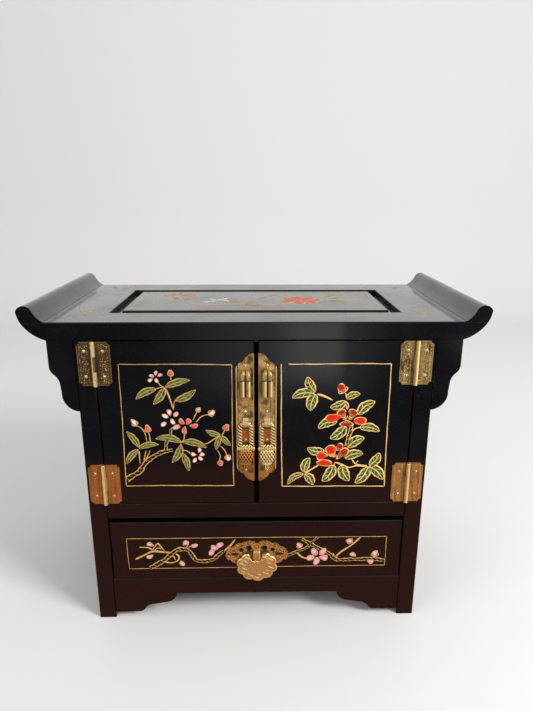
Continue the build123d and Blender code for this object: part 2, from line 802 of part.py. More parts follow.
# Drawer pull: scalloped disc with two horns, hanging from a round bar
with BuildPart() as drawer_pull:
    scallops = scallop_points()
    with BuildSketch(hung_at(0, drawer_pivot_z, drawer_pull_stand - drawer_pull_thickness / 2)):
        with BuildLine():
            for start, end in zip(scallops, scallops[1:]):
                SagittaArc(start, end, scallop_bulge)
            ThreePointArc(horn_inner, horn_tip, scallops[0])
            ThreePointArc((-horn_inner[0], horn_inner[1]), (-horn_tip[0], horn_tip[1]), scallops[-1])
            Polyline(horn_inner, (notch_half, -notch_depth), (-notch_half, -notch_depth),
                     (-horn_inner[0], horn_inner[1]))
        make_face()
    extrude(amount=drawer_pull_thickness)
    with BuildSketch(Plane.YZ.offset(-drawer_bar_half)):
        with Locations((front - drawer_pull_stand, drawer_pivot_z)):
            Circle(drawer_bar_radius)
    extrude(amount=2 * drawer_bar_half)
save(drawer_pull, "drawer_pull")
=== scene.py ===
"""Lacquered jewellery cabinet: finishes, painted flowers, brass relief, velvet linings, studio and camera.

Lengths in the classes are millimetres; Bench and Surface turn them into metres where they meet Blender.
"""

import json
import logging
import math
from dataclasses import dataclass, field
from enum import Enum
from typing import Any, Iterable, Optional, Sequence, Union

import bmesh
import bpy
import numpy as np
from mathutils import Matrix, Vector

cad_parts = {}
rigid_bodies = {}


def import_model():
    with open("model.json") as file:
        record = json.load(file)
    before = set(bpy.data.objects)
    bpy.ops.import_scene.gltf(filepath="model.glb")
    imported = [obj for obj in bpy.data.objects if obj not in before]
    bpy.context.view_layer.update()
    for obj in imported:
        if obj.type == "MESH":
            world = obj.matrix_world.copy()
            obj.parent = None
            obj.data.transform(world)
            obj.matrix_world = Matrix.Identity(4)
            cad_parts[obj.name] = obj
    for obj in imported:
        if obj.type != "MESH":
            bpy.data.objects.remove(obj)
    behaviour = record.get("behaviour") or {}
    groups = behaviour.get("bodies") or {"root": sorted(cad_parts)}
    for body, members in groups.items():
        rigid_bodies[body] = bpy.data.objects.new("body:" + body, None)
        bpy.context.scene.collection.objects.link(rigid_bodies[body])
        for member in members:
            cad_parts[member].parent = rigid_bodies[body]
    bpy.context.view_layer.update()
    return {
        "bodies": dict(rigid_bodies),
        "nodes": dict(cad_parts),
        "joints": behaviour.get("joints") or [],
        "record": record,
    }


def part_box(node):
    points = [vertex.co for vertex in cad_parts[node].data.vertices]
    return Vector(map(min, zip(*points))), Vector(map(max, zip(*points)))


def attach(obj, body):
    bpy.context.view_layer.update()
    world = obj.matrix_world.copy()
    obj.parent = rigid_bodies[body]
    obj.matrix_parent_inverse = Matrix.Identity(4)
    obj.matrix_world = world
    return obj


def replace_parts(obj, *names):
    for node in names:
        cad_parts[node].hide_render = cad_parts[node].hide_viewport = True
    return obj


LOG = logging.getLogger("jewellery_cabinet")
MM = 0.001
TINY = 1e-9

Point = tuple[float, float]
Place = tuple[float, float, float]
Colour = tuple[float, float, float]
Stops = Sequence[tuple[float, Colour]]


# ---------------------------------------------------------------- shader bench


class Tone:
    """A value, colour or vector socket of a node tree, with arithmetic that adds Math nodes."""

    def __init__(self, bench: "Bench", socket: bpy.types.NodeSocket) -> None:
        """Wrap one output socket."""
        self.bench = bench
        self.socket = socket

    def _math(self, operation: str, *terms: Union["Tone", float]) -> "Tone":
        """Add one Math node and return its value."""
        return self.bench.tone("ShaderNodeMath", {"operation": operation}, dict(enumerate(terms)))

    def __add__(self, other: Union["Tone", float]) -> "Tone":
        """Return self + other."""
        return self._math("ADD", self, other)

    def __radd__(self, other: float) -> "Tone":
        """Return other + self."""
        return self._math("ADD", other, self)

    def __sub__(self, other: Union["Tone", float]) -> "Tone":
        """Return self - other."""
        return self._math("SUBTRACT", self, other)

    def __rsub__(self, other: float) -> "Tone":
        """Return other - self."""
        return self._math("SUBTRACT", other, self)

    def __mul__(self, other: Union["Tone", float]) -> "Tone":
        """Return self * other."""
        return self._math("MULTIPLY", self, other)

    def __rmul__(self, other: float) -> "Tone":
        """Return other * self."""
        return self._math("MULTIPLY", other, self)

    def __truediv__(self, other: Union["Tone", float]) -> "Tone":
        """Return self / other."""
        return self._math("DIVIDE", self, other)

    def __rtruediv__(self, other: float) -> "Tone":
        """Return other / self."""
        return self._math("DIVIDE", other, self)

    def __abs__(self) -> "Tone":
        """Return the size of self."""
        return self._math("ABSOLUTE", self)

    def root(self) -> "Tone":
        """Return the square root of self."""
        return self._math("SQRT", self)

    def least(self, other: Union["Tone", float]) -> "Tone":
        """Return the smaller of self and other."""
        return self._math("MINIMUM", self, other)

    def most(self, other: Union["Tone", float]) -> "Tone":
        """Return the larger of self and other."""
        return self._math("MAXIMUM", self, other)

    def clamped(self) -> "Tone":
        """Return self, held between 0 and 1."""
        return self.most(0.0).least(1.0)

    def wave(self, period: float) -> "Tone":
        """Return a sine of self that repeats each period."""
        return self._math("SINE", self * (2 * math.pi / period))

    def steps(self, start: float, end: float) -> "Tone":
        """Return 0 at start, 1 at end and a smooth step between; start may be above end."""
        sockets = {"Value": self, "From Min": start, "From Max": end}
        return self.bench.tone("ShaderNodeMapRange", {"interpolation_type": "SMOOTHSTEP"}, sockets)


class Bench:
    """A node tree on which a finish is laid out."""

    def __init__(self, tree: bpy.types.NodeTree) -> None:
        """Start with an empty tree."""
        self.tree = tree
        self.tree.nodes.clear()

    @classmethod
    def of_material(cls, name: str) -> tuple[bpy.types.Material, "Bench"]:
        """Return a new material and its bench.

        Args:
            name: Name of the material.

        Returns:
            The material, and a bench for its node tree.
        """
        material = bpy.data.materials.new(name)
        material.use_nodes = True
        return material, cls(material.node_tree)

    def node(
        self, kind: str, settings: Optional[dict[str, Any]] = None, sockets: Optional[dict[Any, Any]] = None
    ) -> bpy.types.Node:
        """Add any node.

        Args:
            kind: The node's type.
            settings: Its properties, set first; "stops" fills a colour ramp.
            sockets: Values or tones for its inputs, by name or by place.

        Returns:
            The node.
        """
        made = self.tree.nodes.new(kind)
        for key, value in (settings or {}).items():
            if key == "stops":
                self._set_stops(made.color_ramp, value)
            else:
                setattr(made, key, value)
        for key, value in (sockets or {}).items():
            if isinstance(value, Tone):
                self.tree.links.new(value.socket, made.inputs[key])
            else:
                made.inputs[key].default_value = value
        return made

    def tone(
        self,
        kind: str,
        settings: Optional[dict[str, Any]] = None,
        sockets: Optional[dict[Any, Any]] = None,
        output: Union[int, str] = 0,
    ) -> Tone:
        """Add any node and return one of its outputs."""
        return Tone(self, self.node(kind, settings, sockets).outputs[output])

    @staticmethod
    def _set_stops(ramp: bpy.types.ColorRamp, stops: Stops) -> None:
        """Fill a colour ramp.

        Args:
            ramp: The ramp.
            stops: Places from 0 to 1, each with its colour.
        """
        while len(ramp.elements) < len(stops):
            ramp.elements.new(0.5)
        for element, (place, colour) in zip(ramp.elements, stops):
            element.position = place
            element.color = (*colour, 1.0)

    def place(self) -> Tone:
        """Return the Object coordinates, which are the cabinet's own frame in metres."""
        return self.tone("ShaderNodeTexCoord", output="Object")

    def tint(self) -> Tone:
        """Return the number that each point of a piece carries."""
        return self.tone("ShaderNodeAttribute", {"attribute_name": "tint"}, output="Fac")

    def rays(self) -> tuple[Tone, Tone]:
        """Return 1 for what the camera sees straight, and 1 for what polished pieces mirror."""
        path = self.node("ShaderNodeLightPath")
        return Tone(self, path.outputs["Is Camera Ray"]), Tone(self, path.outputs["Is Glossy Ray"])

    def axes(self, vector: Tone) -> tuple[Tone, ...]:
        """Return the three parts of a vector."""
        return tuple(Tone(self, part) for part in self.node("ShaderNodeSeparateXYZ", None, {0: vector}).outputs)

    def stretched(self, vector: Tone, scale: Sequence[float], turn: Sequence[float] = (0, 0, 0)) -> Tone:
        """Return the vector turned and then scaled by Mapping nodes."""
        turned = self.tone("ShaderNodeMapping", None, {"Vector": vector, "Rotation": tuple(turn)})
        return self.tone("ShaderNodeMapping", None, {"Vector": turned, "Scale": tuple(scale)})

    def noise(self, vector: Tone, per_mm: float, detail: float = 3.0, rough: float = 0.55) -> Tone:
        """Lay cloudy noise."""
        sockets = {"Vector": vector, "Scale": per_mm / MM, "Detail": detail, "Roughness": rough}
        return self.tone("ShaderNodeTexNoise", None, sockets)

    def cells(self, vector: Tone, per_mm: float) -> Tone:
        """Return the distance to the nearest of scattered points, per_mm of them to a millimetre."""
        return self.tone("ShaderNodeTexVoronoi", None, {"Vector": vector, "Scale": per_mm / MM}, "Distance")

    def blend(self, share: Union[Tone, float], first: Union[Tone, Colour], second: Union[Tone, Colour]) -> Tone:
        """Mix two colours.

        Args:
            share: How much of the second.
            first: The colour where share is 0.
            second: The colour where share is 1.

        Returns:
            The mixed colour.
        """
        pair = [c if isinstance(c, Tone) else (*c, 1.0) for c in (first, second)]
        settings = {"data_type": "RGBA", "clamp_factor": True}
        return self.tone("ShaderNodeMix", settings, {0: share, 6: pair[0], 7: pair[1]}, 2)

    def bump(self, height: Tone, depth_mm: float, under: Optional[Tone] = None) -> Tone:
        """Bend the surface by a height.

        Args:
            height: Height from 0 to 1.
            depth_mm: What a height of 1 stands for.
            under: A normal to start from.

        Returns:
            The bent normal.
        """
        sockets: dict[Any, Any] = {"Height": height, "Distance": depth_mm * MM, "Strength": 1.0}
        if under is not None:
            sockets["Normal"] = under
        return self.tone("ShaderNodeBump", None, sockets)

    def finish(self, **sockets: Any) -> None:
        """Add the surface shader and the output.

        Args:
            **sockets: The shader's sockets, their names written with underscores.
        """
        named = {key.replace("_", " "): value for key, value in sockets.items()}
        for key, value in named.items():
            if key.endswith(("Color", "Tint")) and not isinstance(value, Tone):
                named[key] = (*value, 1.0)
        shader = self.tone("ShaderNodeBsdfPrincipled", None, named)
        self.node("ShaderNodeOutputMaterial", None, {"Surface": shader})


# ---------------------------------------------------------------- finishes


@dataclass(frozen=True)
class Lacquer:
    """Polished black lacquer over wood, with orange peel, hairline scratches, dust, rubbed edges and a painted warm
    reflection of the table toward the bottom.

    Attributes:
        name: Name of the material.
        lo: Lowest corner of the board, in metres, for the rubbed edges.
        hi: Highest corner of the board.
        wear_mm: Width of the rubbed edge.
        unpolished_mm: Distances from an edge at which the polish starts to stop and has stopped.
        sunk: Half width, half depth, middle y and top in mm of a groove left unpolished, if any.
        table_reflection_at: Heights in metres at which the black starts to take on the painted warm reflection of the
            table and has taken it on fully.
        black: Colour of the upper part.
        table_reflection_colour: Colour near the table, a painted warm reflection of it on the black.
        rubbed: Colour of the rubbed edges.
        dusty: Colour of the dust.
    """

    name: str
    lo: Place
    hi: Place
    wear_mm: float = 0.45
    unpolished_mm: Point = (0.55, 0.30)
    sunk: Optional[tuple[float, float, float, float]] = None
    table_reflection_at: Point = (0.20, 0.05)
    black: Colour = (0.0018, 0.0018, 0.0022)
    table_reflection_colour: Colour = (0.0034, 0.0013, 0.0010)
    rubbed: Colour = (0.105, 0.098, 0.095)
    dusty: Colour = (0.12, 0.11, 0.10)

    def _edge(self, axes: Sequence[Tone]) -> Tone:
        """Measure how near an edge is.

        Args:
            axes: The point's x, y and z.

        Returns:
            The middle one of the distances to the board's faces on the three axes, in metres.
        """
        first, second, third = (
            (high - low) / 2 - abs(part - (low + high) / 2) for part, low, high in zip(axes, self.lo, self.hi)
        )
        return first.least(second).most(first.most(second).least(third))

    def _groove(self, axes: Sequence[Tone]) -> Optional[Tone]:
        """Mark the groove.

        Args:
            axes: The point's x, y and z.

        Returns:
            1 inside the unpolished groove and 0 elsewhere, or nothing if the board has none.
        """
        if self.sunk is None:
            return None
        half, deep, middle, top = (size * MM for size in self.sunk)
        fade, shallow, full = 0.4 * MM, 0.2 * MM, 0.5 * MM
        x, y, z = axes
        inside = abs(x).steps(half + fade, half) * abs(y - middle).steps(deep + fade, deep)
        return inside * z.steps(top - shallow, top - full)

    def material(self) -> bpy.types.Material:
        """Make the material.

        Returns:
            The Blender material.
        """
        material, bench = Bench.of_material(self.name)
        place = bench.place()
        axes = bench.axes(place)
        cloud = bench.noise(place, 0.012, 4)
        # painted reflection: the black turns warm toward the bottom, as if it mirrored the table
        warm = (axes[2] + 0.05 * (cloud - 0.5)).steps(*self.table_reflection_at)
        body = bench.blend(warm, self.black, self.table_reflection_colour)
        grit = bench.noise(place, 0.9, 2).steps(0.50, 0.66)
        patch = bench.noise(place, 0.028, 2).steps(0.54, 0.64)
        edge = self._edge(axes)
        wear = edge.steps(self.wear_mm * MM, 0.1 * self.wear_mm * MM) * grit * (0.04 + 0.96 * patch)
        body = bench.blend(wear * 0.8, body, self.rubbed)
        dust = bench.cells(place, 0.22).steps(0.10, 0.03) * bench.noise(place, 0.03, 2).steps(0.5, 0.7)
        body = bench.blend(dust * 0.3, body, self.dusty)
        fine = bench.noise(bench.stretched(place, (0.04, 1, 1.3), (0.1, 0.25, 0.2)), 0.9, 2).steps(0.60, 0.74)
        cross = bench.noise(bench.stretched(place, (1, 1, 0.05), (0.0, 0.3, 0.1)), 1.1, 2).steps(0.64, 0.76)
        smear = bench.noise(place, 0.02, 3, 0.6).steps(0.35, 0.75)
        rough = 0.20 + 0.20 * smear + 0.22 * fine + 0.20 * cross + 0.3 * wear + 0.3 * dust
        bare = edge.steps(*(width * MM for width in self.unpolished_mm))
        coat = (1 - 0.6 * wear - 0.3 * dust) * (1 - 0.96 * bare)
        groove = self._groove(axes)
        if groove is not None:
            rough = (rough + 0.5 * groove).least(0.9)
            coat = coat * (1 - 0.93 * groove)
        peel = bench.bump(bench.noise(place, 0.10, 2), 0.022)
        bench.finish(
            Base_Color=body, Roughness=rough, Specular_IOR_Level=0.25, Coat_Weight=coat, Coat_Roughness=0.035,
            Coat_IOR=1.5, Normal=bench.bump(fine * -0.5 - cross * 0.5, 0.003, peel),
        )
        return material


@dataclass(frozen=True)
class InnerBoard:
    """Thin satin black wash over plain boards, with the grain showing through.

    Attributes:
        name: Name of the material.
        along: Stretch on each axis, small along the grain.
        dark: Colour of the hard grain.
        pale: Colour of the soft grain.
        pore: Colour of the pores.
    """

    name: str
    along: Place = (0.05, 1.0, 1.0)
    dark: Colour = (0.012, 0.008, 0.006)
    pale: Colour = (0.040, 0.026, 0.018)
    pore: Colour = (0.006, 0.004, 0.003)

    def material(self) -> bpy.types.Material:
        """Make the material.

        Returns:
            The Blender material.
        """
        material, bench = Bench.of_material(self.name)
        fibre = bench.stretched(bench.place(), self.along)
        grain = bench.noise(fibre, 0.55, 5, 0.65)
        pores = bench.noise(fibre, 2.6, 2).steps(0.56, 0.72)
        bench.finish(
            Base_Color=bench.blend(pores * 0.7, bench.blend(grain, self.dark, self.pale), self.pore),
            Roughness=0.42 + 0.25 * grain, Specular_IOR_Level=0.4, Normal=bench.bump(grain * 0.6 - pores * 0.4, 0.12),
        )
        return material


@dataclass(frozen=True)
class Velvet:
    """Short-pile velvet glued to the boards, brushed in patches.

    Attributes:
        name: Name of the material.
        deep: Colour where the pile stands.
        lit: Colour where it is brushed.
        sheen: Colour of its sheen.
    """

    name: str
    deep: Colour = (0.150, 0.010, 0.016)
    lit: Colour = (0.330, 0.030, 0.040)
    sheen: Colour = (0.9, 0.45, 0.45)

    def material(self) -> bpy.types.Material:
        """Make the material.

        Returns:
            The Blender material.
        """
        material, bench = Bench.of_material(self.name)
        place = bench.place()
        brushed = bench.noise(place, 0.03, 3)
        pile = bench.noise(place, 2.2, 3, 0.7)
        bench.finish(
            Base_Color=bench.blend(0.5 * brushed.steps(0.35, 0.65) + 0.5 * pile, self.deep, self.lit),
            Roughness=0.75 + 0.2 * pile, Specular_IOR_Level=0.15, Sheen_Weight=0.45, Sheen_Roughness=0.35,
            Sheen_Tint=self.sheen, Normal=bench.bump(pile * 0.6 + brushed * 0.4, 0.35),
        )
        return material


class Stamp(Enum):
    """How a brass piece is worked."""

    PLAIN = "plain"
    LEAF = "hinge leaf with a beaded border and stamped flowers"
    HATCHED = "plate with a rim line, slanting cuts and upright lines"
    PUNCHED = "plate covered with ring punches"
    # on the lock staples, the drawer pull and the strap the tint also holds painted highlight and painted shade
    CARVED = "relief in the mesh, with its height kept as the tint of each point"


@dataclass(frozen=True)
class Spot:
    """Where a shaded point lies on a brass piece.

    Attributes:
        place: Object coordinates, in metres.
        z: Height, in mm.
        across: Distance from the middle line less that of the pattern's middle, in mm.
        up: Height above the pattern's middle, in mm.
        rim: Distance inward from the pattern's border, in mm.
    """

    place: Tone
    z: Tone
    across: Tone
    up: Tone
    rim: Tone


@dataclass(frozen=True)
class Brass:
    """Stamped yellow brass, tarnished in its hollows and rubbed bright on its ridges, with a painted highlight on the
    highest ridges.

    Attributes:
        name: Name of the material.
        stamp: How the piece is worked.
        middle: Middle of the pattern in x and z, in mm; x is taken from the cabinet's middle line.
        half: Half width and half height of the pattern, in mm.
        copper: How far the tone leans to copper, from 0 to 1.
        polish: How bright the piece is rubbed, from 0 to 1.
        knuckle: Half width in mm of the polished barrel of a hinge.
        shade: How far the whole piece has darkened, from 0 to 1.
        streaks: How far upright streaks take the place of the stamping, from 0 to 1.
        dark_middle: How dark the middle third of the barrel is, from 0 to 1.
        copper_below: Height in mm below which the piece has turned to dull copper; 0 for none.
        pits: Place out and up, narrowing and radius in mm of the dark hollows of a punched plate.
        yellow: Colour of clean brass.
        red: Colour of copper.
        tarnish: Colour of the hollows.
        barrel_polish_and_highlight_colour: Colour of the polished barrel, paled further as a painted highlight.
        painted_highlight_colour: Colour of the painted highlight on the brightest ridges.
    """

    name: str
    stamp: Stamp = Stamp.PLAIN
    middle: Point = (0.0, 0.0)
    half: Point = (1.0, 1.0)
    copper: float = 0.0
    polish: float = 0.5
    knuckle: float = 0.0
    shade: float = 0.0
    streaks: float = 0.0
    dark_middle: float = 0.0
    copper_below: float = 0.0
    pits: tuple[tuple[float, float, float, float], ...] = (
        (6.1, 65.85, 1.0, 2.5), (12.6, 64.15, 1.0, 2.1), (17.7, 60.15, 0.42, 1.5),
    )
    yellow: Colour = (0.93, 0.67, 0.24)
    red: Colour = (0.84, 0.27, 0.045)
    tarnish: Colour = (0.075, 0.042, 0.014)
    barrel_polish_and_highlight_colour: Colour = (1.0, 0.76, 0.34)
    painted_highlight_colour: Colour = (1.0, 0.72, 0.34)

    def _spot(self, bench: Bench) -> Spot:
        """Find the shaded point on the pattern.

        Args:
            bench: The material's node tree.

        Returns:
            Where the point lies.
        """
        place = bench.place()
        x, _, z = (part / MM for part in bench.axes(place))
        across, up = abs(x) - self.middle[0], z - self.middle[1]
        rim = (self.half[0] - abs(across)).least(self.half[1] - abs(up))
        return Spot(place, z, across, up, rim)

    def _leaf_relief(self, bench: Bench, spot: Spot) -> Tone:
        """Stamp a hinge leaf: a plain rim, upright rows of short slanting strokes, a smooth middle.

        Args:
            bench: The material's node tree.
            spot: Where the point lies.

        Returns:
            The height, from 0 in the cuts to 1 on the ridges.
        """
        out = abs(spot.across)
        drift = bench.noise(spot.place, 0.35, 2)
        rows = spot.rim.steps(1.0, 1.3) * out.steps(3.6, 4.4).most(abs(spot.up).steps(11.6, 12.2))
        cut = (out + 0.2 * drift).wave(1.9).steps(-0.8, 0.4)
        strokes = bench.cells(spot.place, 0.92).steps(0.50, 0.14) * (0.4 + 0.6 * cut)
        uneven = 0.35 + 0.65 * bench.noise(spot.place, 0.8, 1).steps(0.4, 0.6)
        worked = 0.20 + 0.20 * drift + 0.80 * rows * strokes * uneven
        lines = bench.noise(bench.stretched(spot.place, (1.0, 1.0, 0.06)), 0.55, 3)
        plain = 0.20 + 0.46 * lines.steps(0.34, 0.64) + 0.40 * rows * strokes * spot.rim.steps(4.2, 3.4)
        return ((1 - self.streaks) * worked + self.streaks * plain).most(spot.rim.steps(0.8, 0.5) * 0.42)

    def _barrel_painted_light(self, spot: Spot) -> Tone:
        """Return the barrel's painted light: a painted highlight on its outer side, and less in a dark middle third."""
        third = abs(spot.up).steps(6.0, 5.2) * spot.across.steps(0.6, 0.2)
        return 0.85 * (0.40 + 0.60 * spot.across.steps(-1.3, 0.2)) - self.dark_middle * third

    def _hatched_relief(self, bench: Bench, spot: Spot) -> Tone:
        """Chase a door plate: patches of slanting cuts and of upright lines inside a rim and its line, with a painted
        reflection that brightens the ground and the rim toward the outer side.

        Args:
            bench: The material's node tree.
            spot: Where the point lies.

        Returns:
            The height, from 0 in the cuts to 1 on the ridges.
        """
        line = spot.rim.steps(0.80, 1.00) * spot.rim.steps(1.7, 1.4) * spot.across.steps(-1.0, 1.0)
        slant = (spot.across + spot.up * 0.8 + 2.56 * bench.noise(spot.place, 0.16, 2)).wave(1.7) * 0.5 + 0.5
        upright = bench.noise(bench.stretched(spot.place, (1.0, 1.0, 0.05)), 0.7, 2).steps(0.3, 0.7)
        patch = bench.noise(spot.place, 0.07, 1).steps(0.46, 0.54)
        cuts = patch * slant + (1 - patch) * upright
        worn = bench.noise(spot.place, 0.22, 3).steps(0.38, 0.60)
        # painted reflection: the ground brightens toward the outer side
        ground = 0.03 + 0.62 * cuts * (0.25 + 0.75 * worn) + 0.20 * worn + 0.14 * spot.across.steps(-5.0, 6.0)
        # painted highlight: the rim is brighter on its outer side
        rim = spot.rim.steps(0.9, 0.7) * (0.40 + 0.52 * spot.across.steps(-2.0, 2.0))
        return (ground * (1 - 0.7 * line)).most(rim)

    def _punched_relief(self, bench: Bench, spot: Spot) -> Tone:
        """Punch the cloud plate: small rings all over, a beaded boss in the middle and dark pits.

        Args:
            bench: The material's node tree.
            spot: Where the point lies.

        Returns:
            The height, from 0 in the cuts to 1 on the ridges.
        """
        cell = bench.cells(spot.place, 0.80)
        ring = cell.steps(0.10, 0.26) * cell.steps(0.62, 0.46)
        away = (spot.across * spot.across + spot.up * spot.up).root()
        boss = away.steps(self.half[0] + 0.3, self.half[0])
        bead = (away.wave(2.0) * 0.5 + 0.5) * (0.4 + 0.6 * cell.steps(0.5, 0.2))
        height = (0.26 + 0.50 * ring) * (1 - boss) + boss * (0.25 + 0.75 * bead)
        for out, level, narrow, radius in self.pits:
            a, b = (spot.across - out) * narrow, spot.z - level
            height = height * (a * a + b * b).root().steps(radius - 0.4, radius)
        return height

    def _relief(self, bench: Bench, spot: Spot) -> Tone:
        """Work the piece as its stamp says.

        Args:
            bench: The material's node tree.
            spot: Where the point lies.

        Returns:
            The height, from 0 in the cuts to 1 on the ridges.
        """
        if self.stamp is Stamp.PLAIN:
            return 0.60 + 0.35 * (bench.noise(spot.place, 0.5, 3) - 0.5)
        if self.stamp is Stamp.CARVED:
            return bench.tint().steps(0.08, 0.86)
        work = {Stamp.LEAF: self._leaf_relief, Stamp.HATCHED: self._hatched_relief, Stamp.PUNCHED: self._punched_relief}
        return work[self.stamp](bench, spot)

    @staticmethod
    def _behind_pull(spot: Spot) -> tuple[Tone, Tone]:
        """Mark what lies behind a door pull's loop, 0.25 mm nearer to the middle line than the plate's middle: the
        opening, which takes a painted shadow of the pull, and the copper patch inside it.
        """
        opening = abs(spot.across + 0.25).steps(3.2, 2.6) * spot.z.steps(153.0, 154.0) * spot.z.steps(172.5, 171.5)
        return opening, opening * spot.z.steps(158.8, 160.0) * spot.z.steps(169.6, 168.4)

    def material(self) -> bpy.types.Material:
        """Make the material.

        Returns:
            The Blender material.
        """
        material, bench = Bench.of_material(self.name)
        spot = self._spot(bench)
        relief = self._relief(bench, spot)
        patina = bench.noise(spot.place, 0.11, 4, 0.6)
        specks = bench.noise(spot.place, 1.6, 2)
        lean = (0.35 * (patina - 0.5) + self.copper).clamped()
        polish: Union[Tone, float] = self.polish
        shade: Union[Tone, float] = self.shade
        if self.stamp is Stamp.HATCHED:
            opening, patch = self._behind_pull(spot)
            # painted reflection: copper toward the plate's bottom stands in for the warm table that it mirrors
            lean = lean.most(patch * 0.95).most(spot.z.steps(164.0, 138.0) * 0.8)
        if self.stamp is Stamp.LEAF:
            barrel = abs(spot.across).steps(self.knuckle + 0.25, self.knuckle)
            # the barrel's relief gives way to painted light, brighter on its outer side
            relief = relief * (1 - barrel) + self._barrel_painted_light(spot) * barrel
            metal = bench.blend(lean * (1 - 0.9 * barrel), self.yellow, self.red)
            metal = bench.blend(barrel * 0.8, metal, self.barrel_polish_and_highlight_colour)
            painted_highlight = relief.steps(0.78, 1.04).most(0.65 * barrel * relief.steps(0.45, 0.85))
            polish = self.polish + (1.0 - self.polish) * barrel * relief
            shade = self.shade * (1 - barrel)
        else:
            metal = bench.blend(lean, self.yellow, self.red)
            painted_highlight = relief.steps(0.78, 1.04)
        # painted highlight: the highest relief is paled toward cream and made less metallic
        metal = bench.blend(painted_highlight * 0.8, metal, self.painted_highlight_colour)
        dull = relief.steps(0.62, 0.08) + patina.steps(0.50, 0.78) * 0.45 + specks.steps(0.60, 0.75) * 0.25
        keen = 1.1 if self.stamp is Stamp.CARVED else 1.15 - 0.55 * polish
        dull = (dull * keen + shade * (1.0 - 0.75 * relief)).least(1.0)
        if self.stamp is Stamp.HATCHED:
            # painted shadow: the opening round the copper patch is darkened where the pull shades the plate
            dull = (dull * (1 - 0.7 * patch)).most(opening * (1 - patch) * 0.9)
        if self.copper_below:
            turned = spot.z.steps(self.copper_below, self.copper_below - 2.0)
            painted_highlight = painted_highlight * (1 - 0.7 * turned)
            metal = bench.blend(turned * 0.9, metal, self.red)
            dull = (dull + 0.15 * turned).least(1.0)
        skin = bench.bump(bench.noise(spot.place, 0.7, 3), 0.02)
        if self.stamp is not Stamp.CARVED:
            skin = bench.bump(relief, 0.30, skin)
        bench.finish(
            Base_Color=bench.blend(dull, metal, self.tarnish), Metallic=(0.82 - 0.30 * dull) * (1 - 0.62 * painted_highlight),
            Roughness=(0.42 - 0.20 * polish) + 0.28 * dull + 0.10 * (specks - 0.5), Specular_IOR_Level=0.5,
            Normal=skin,
        )
        return material


class Paint(Enum):
    """The four sorts of painted relief."""

    GOLD = "gold line"
    TWIG = "branch with two gold edges and ticks"
    LEAF = "green leaf with gold outline and veins"
    PETAL = "petal with gold outline"


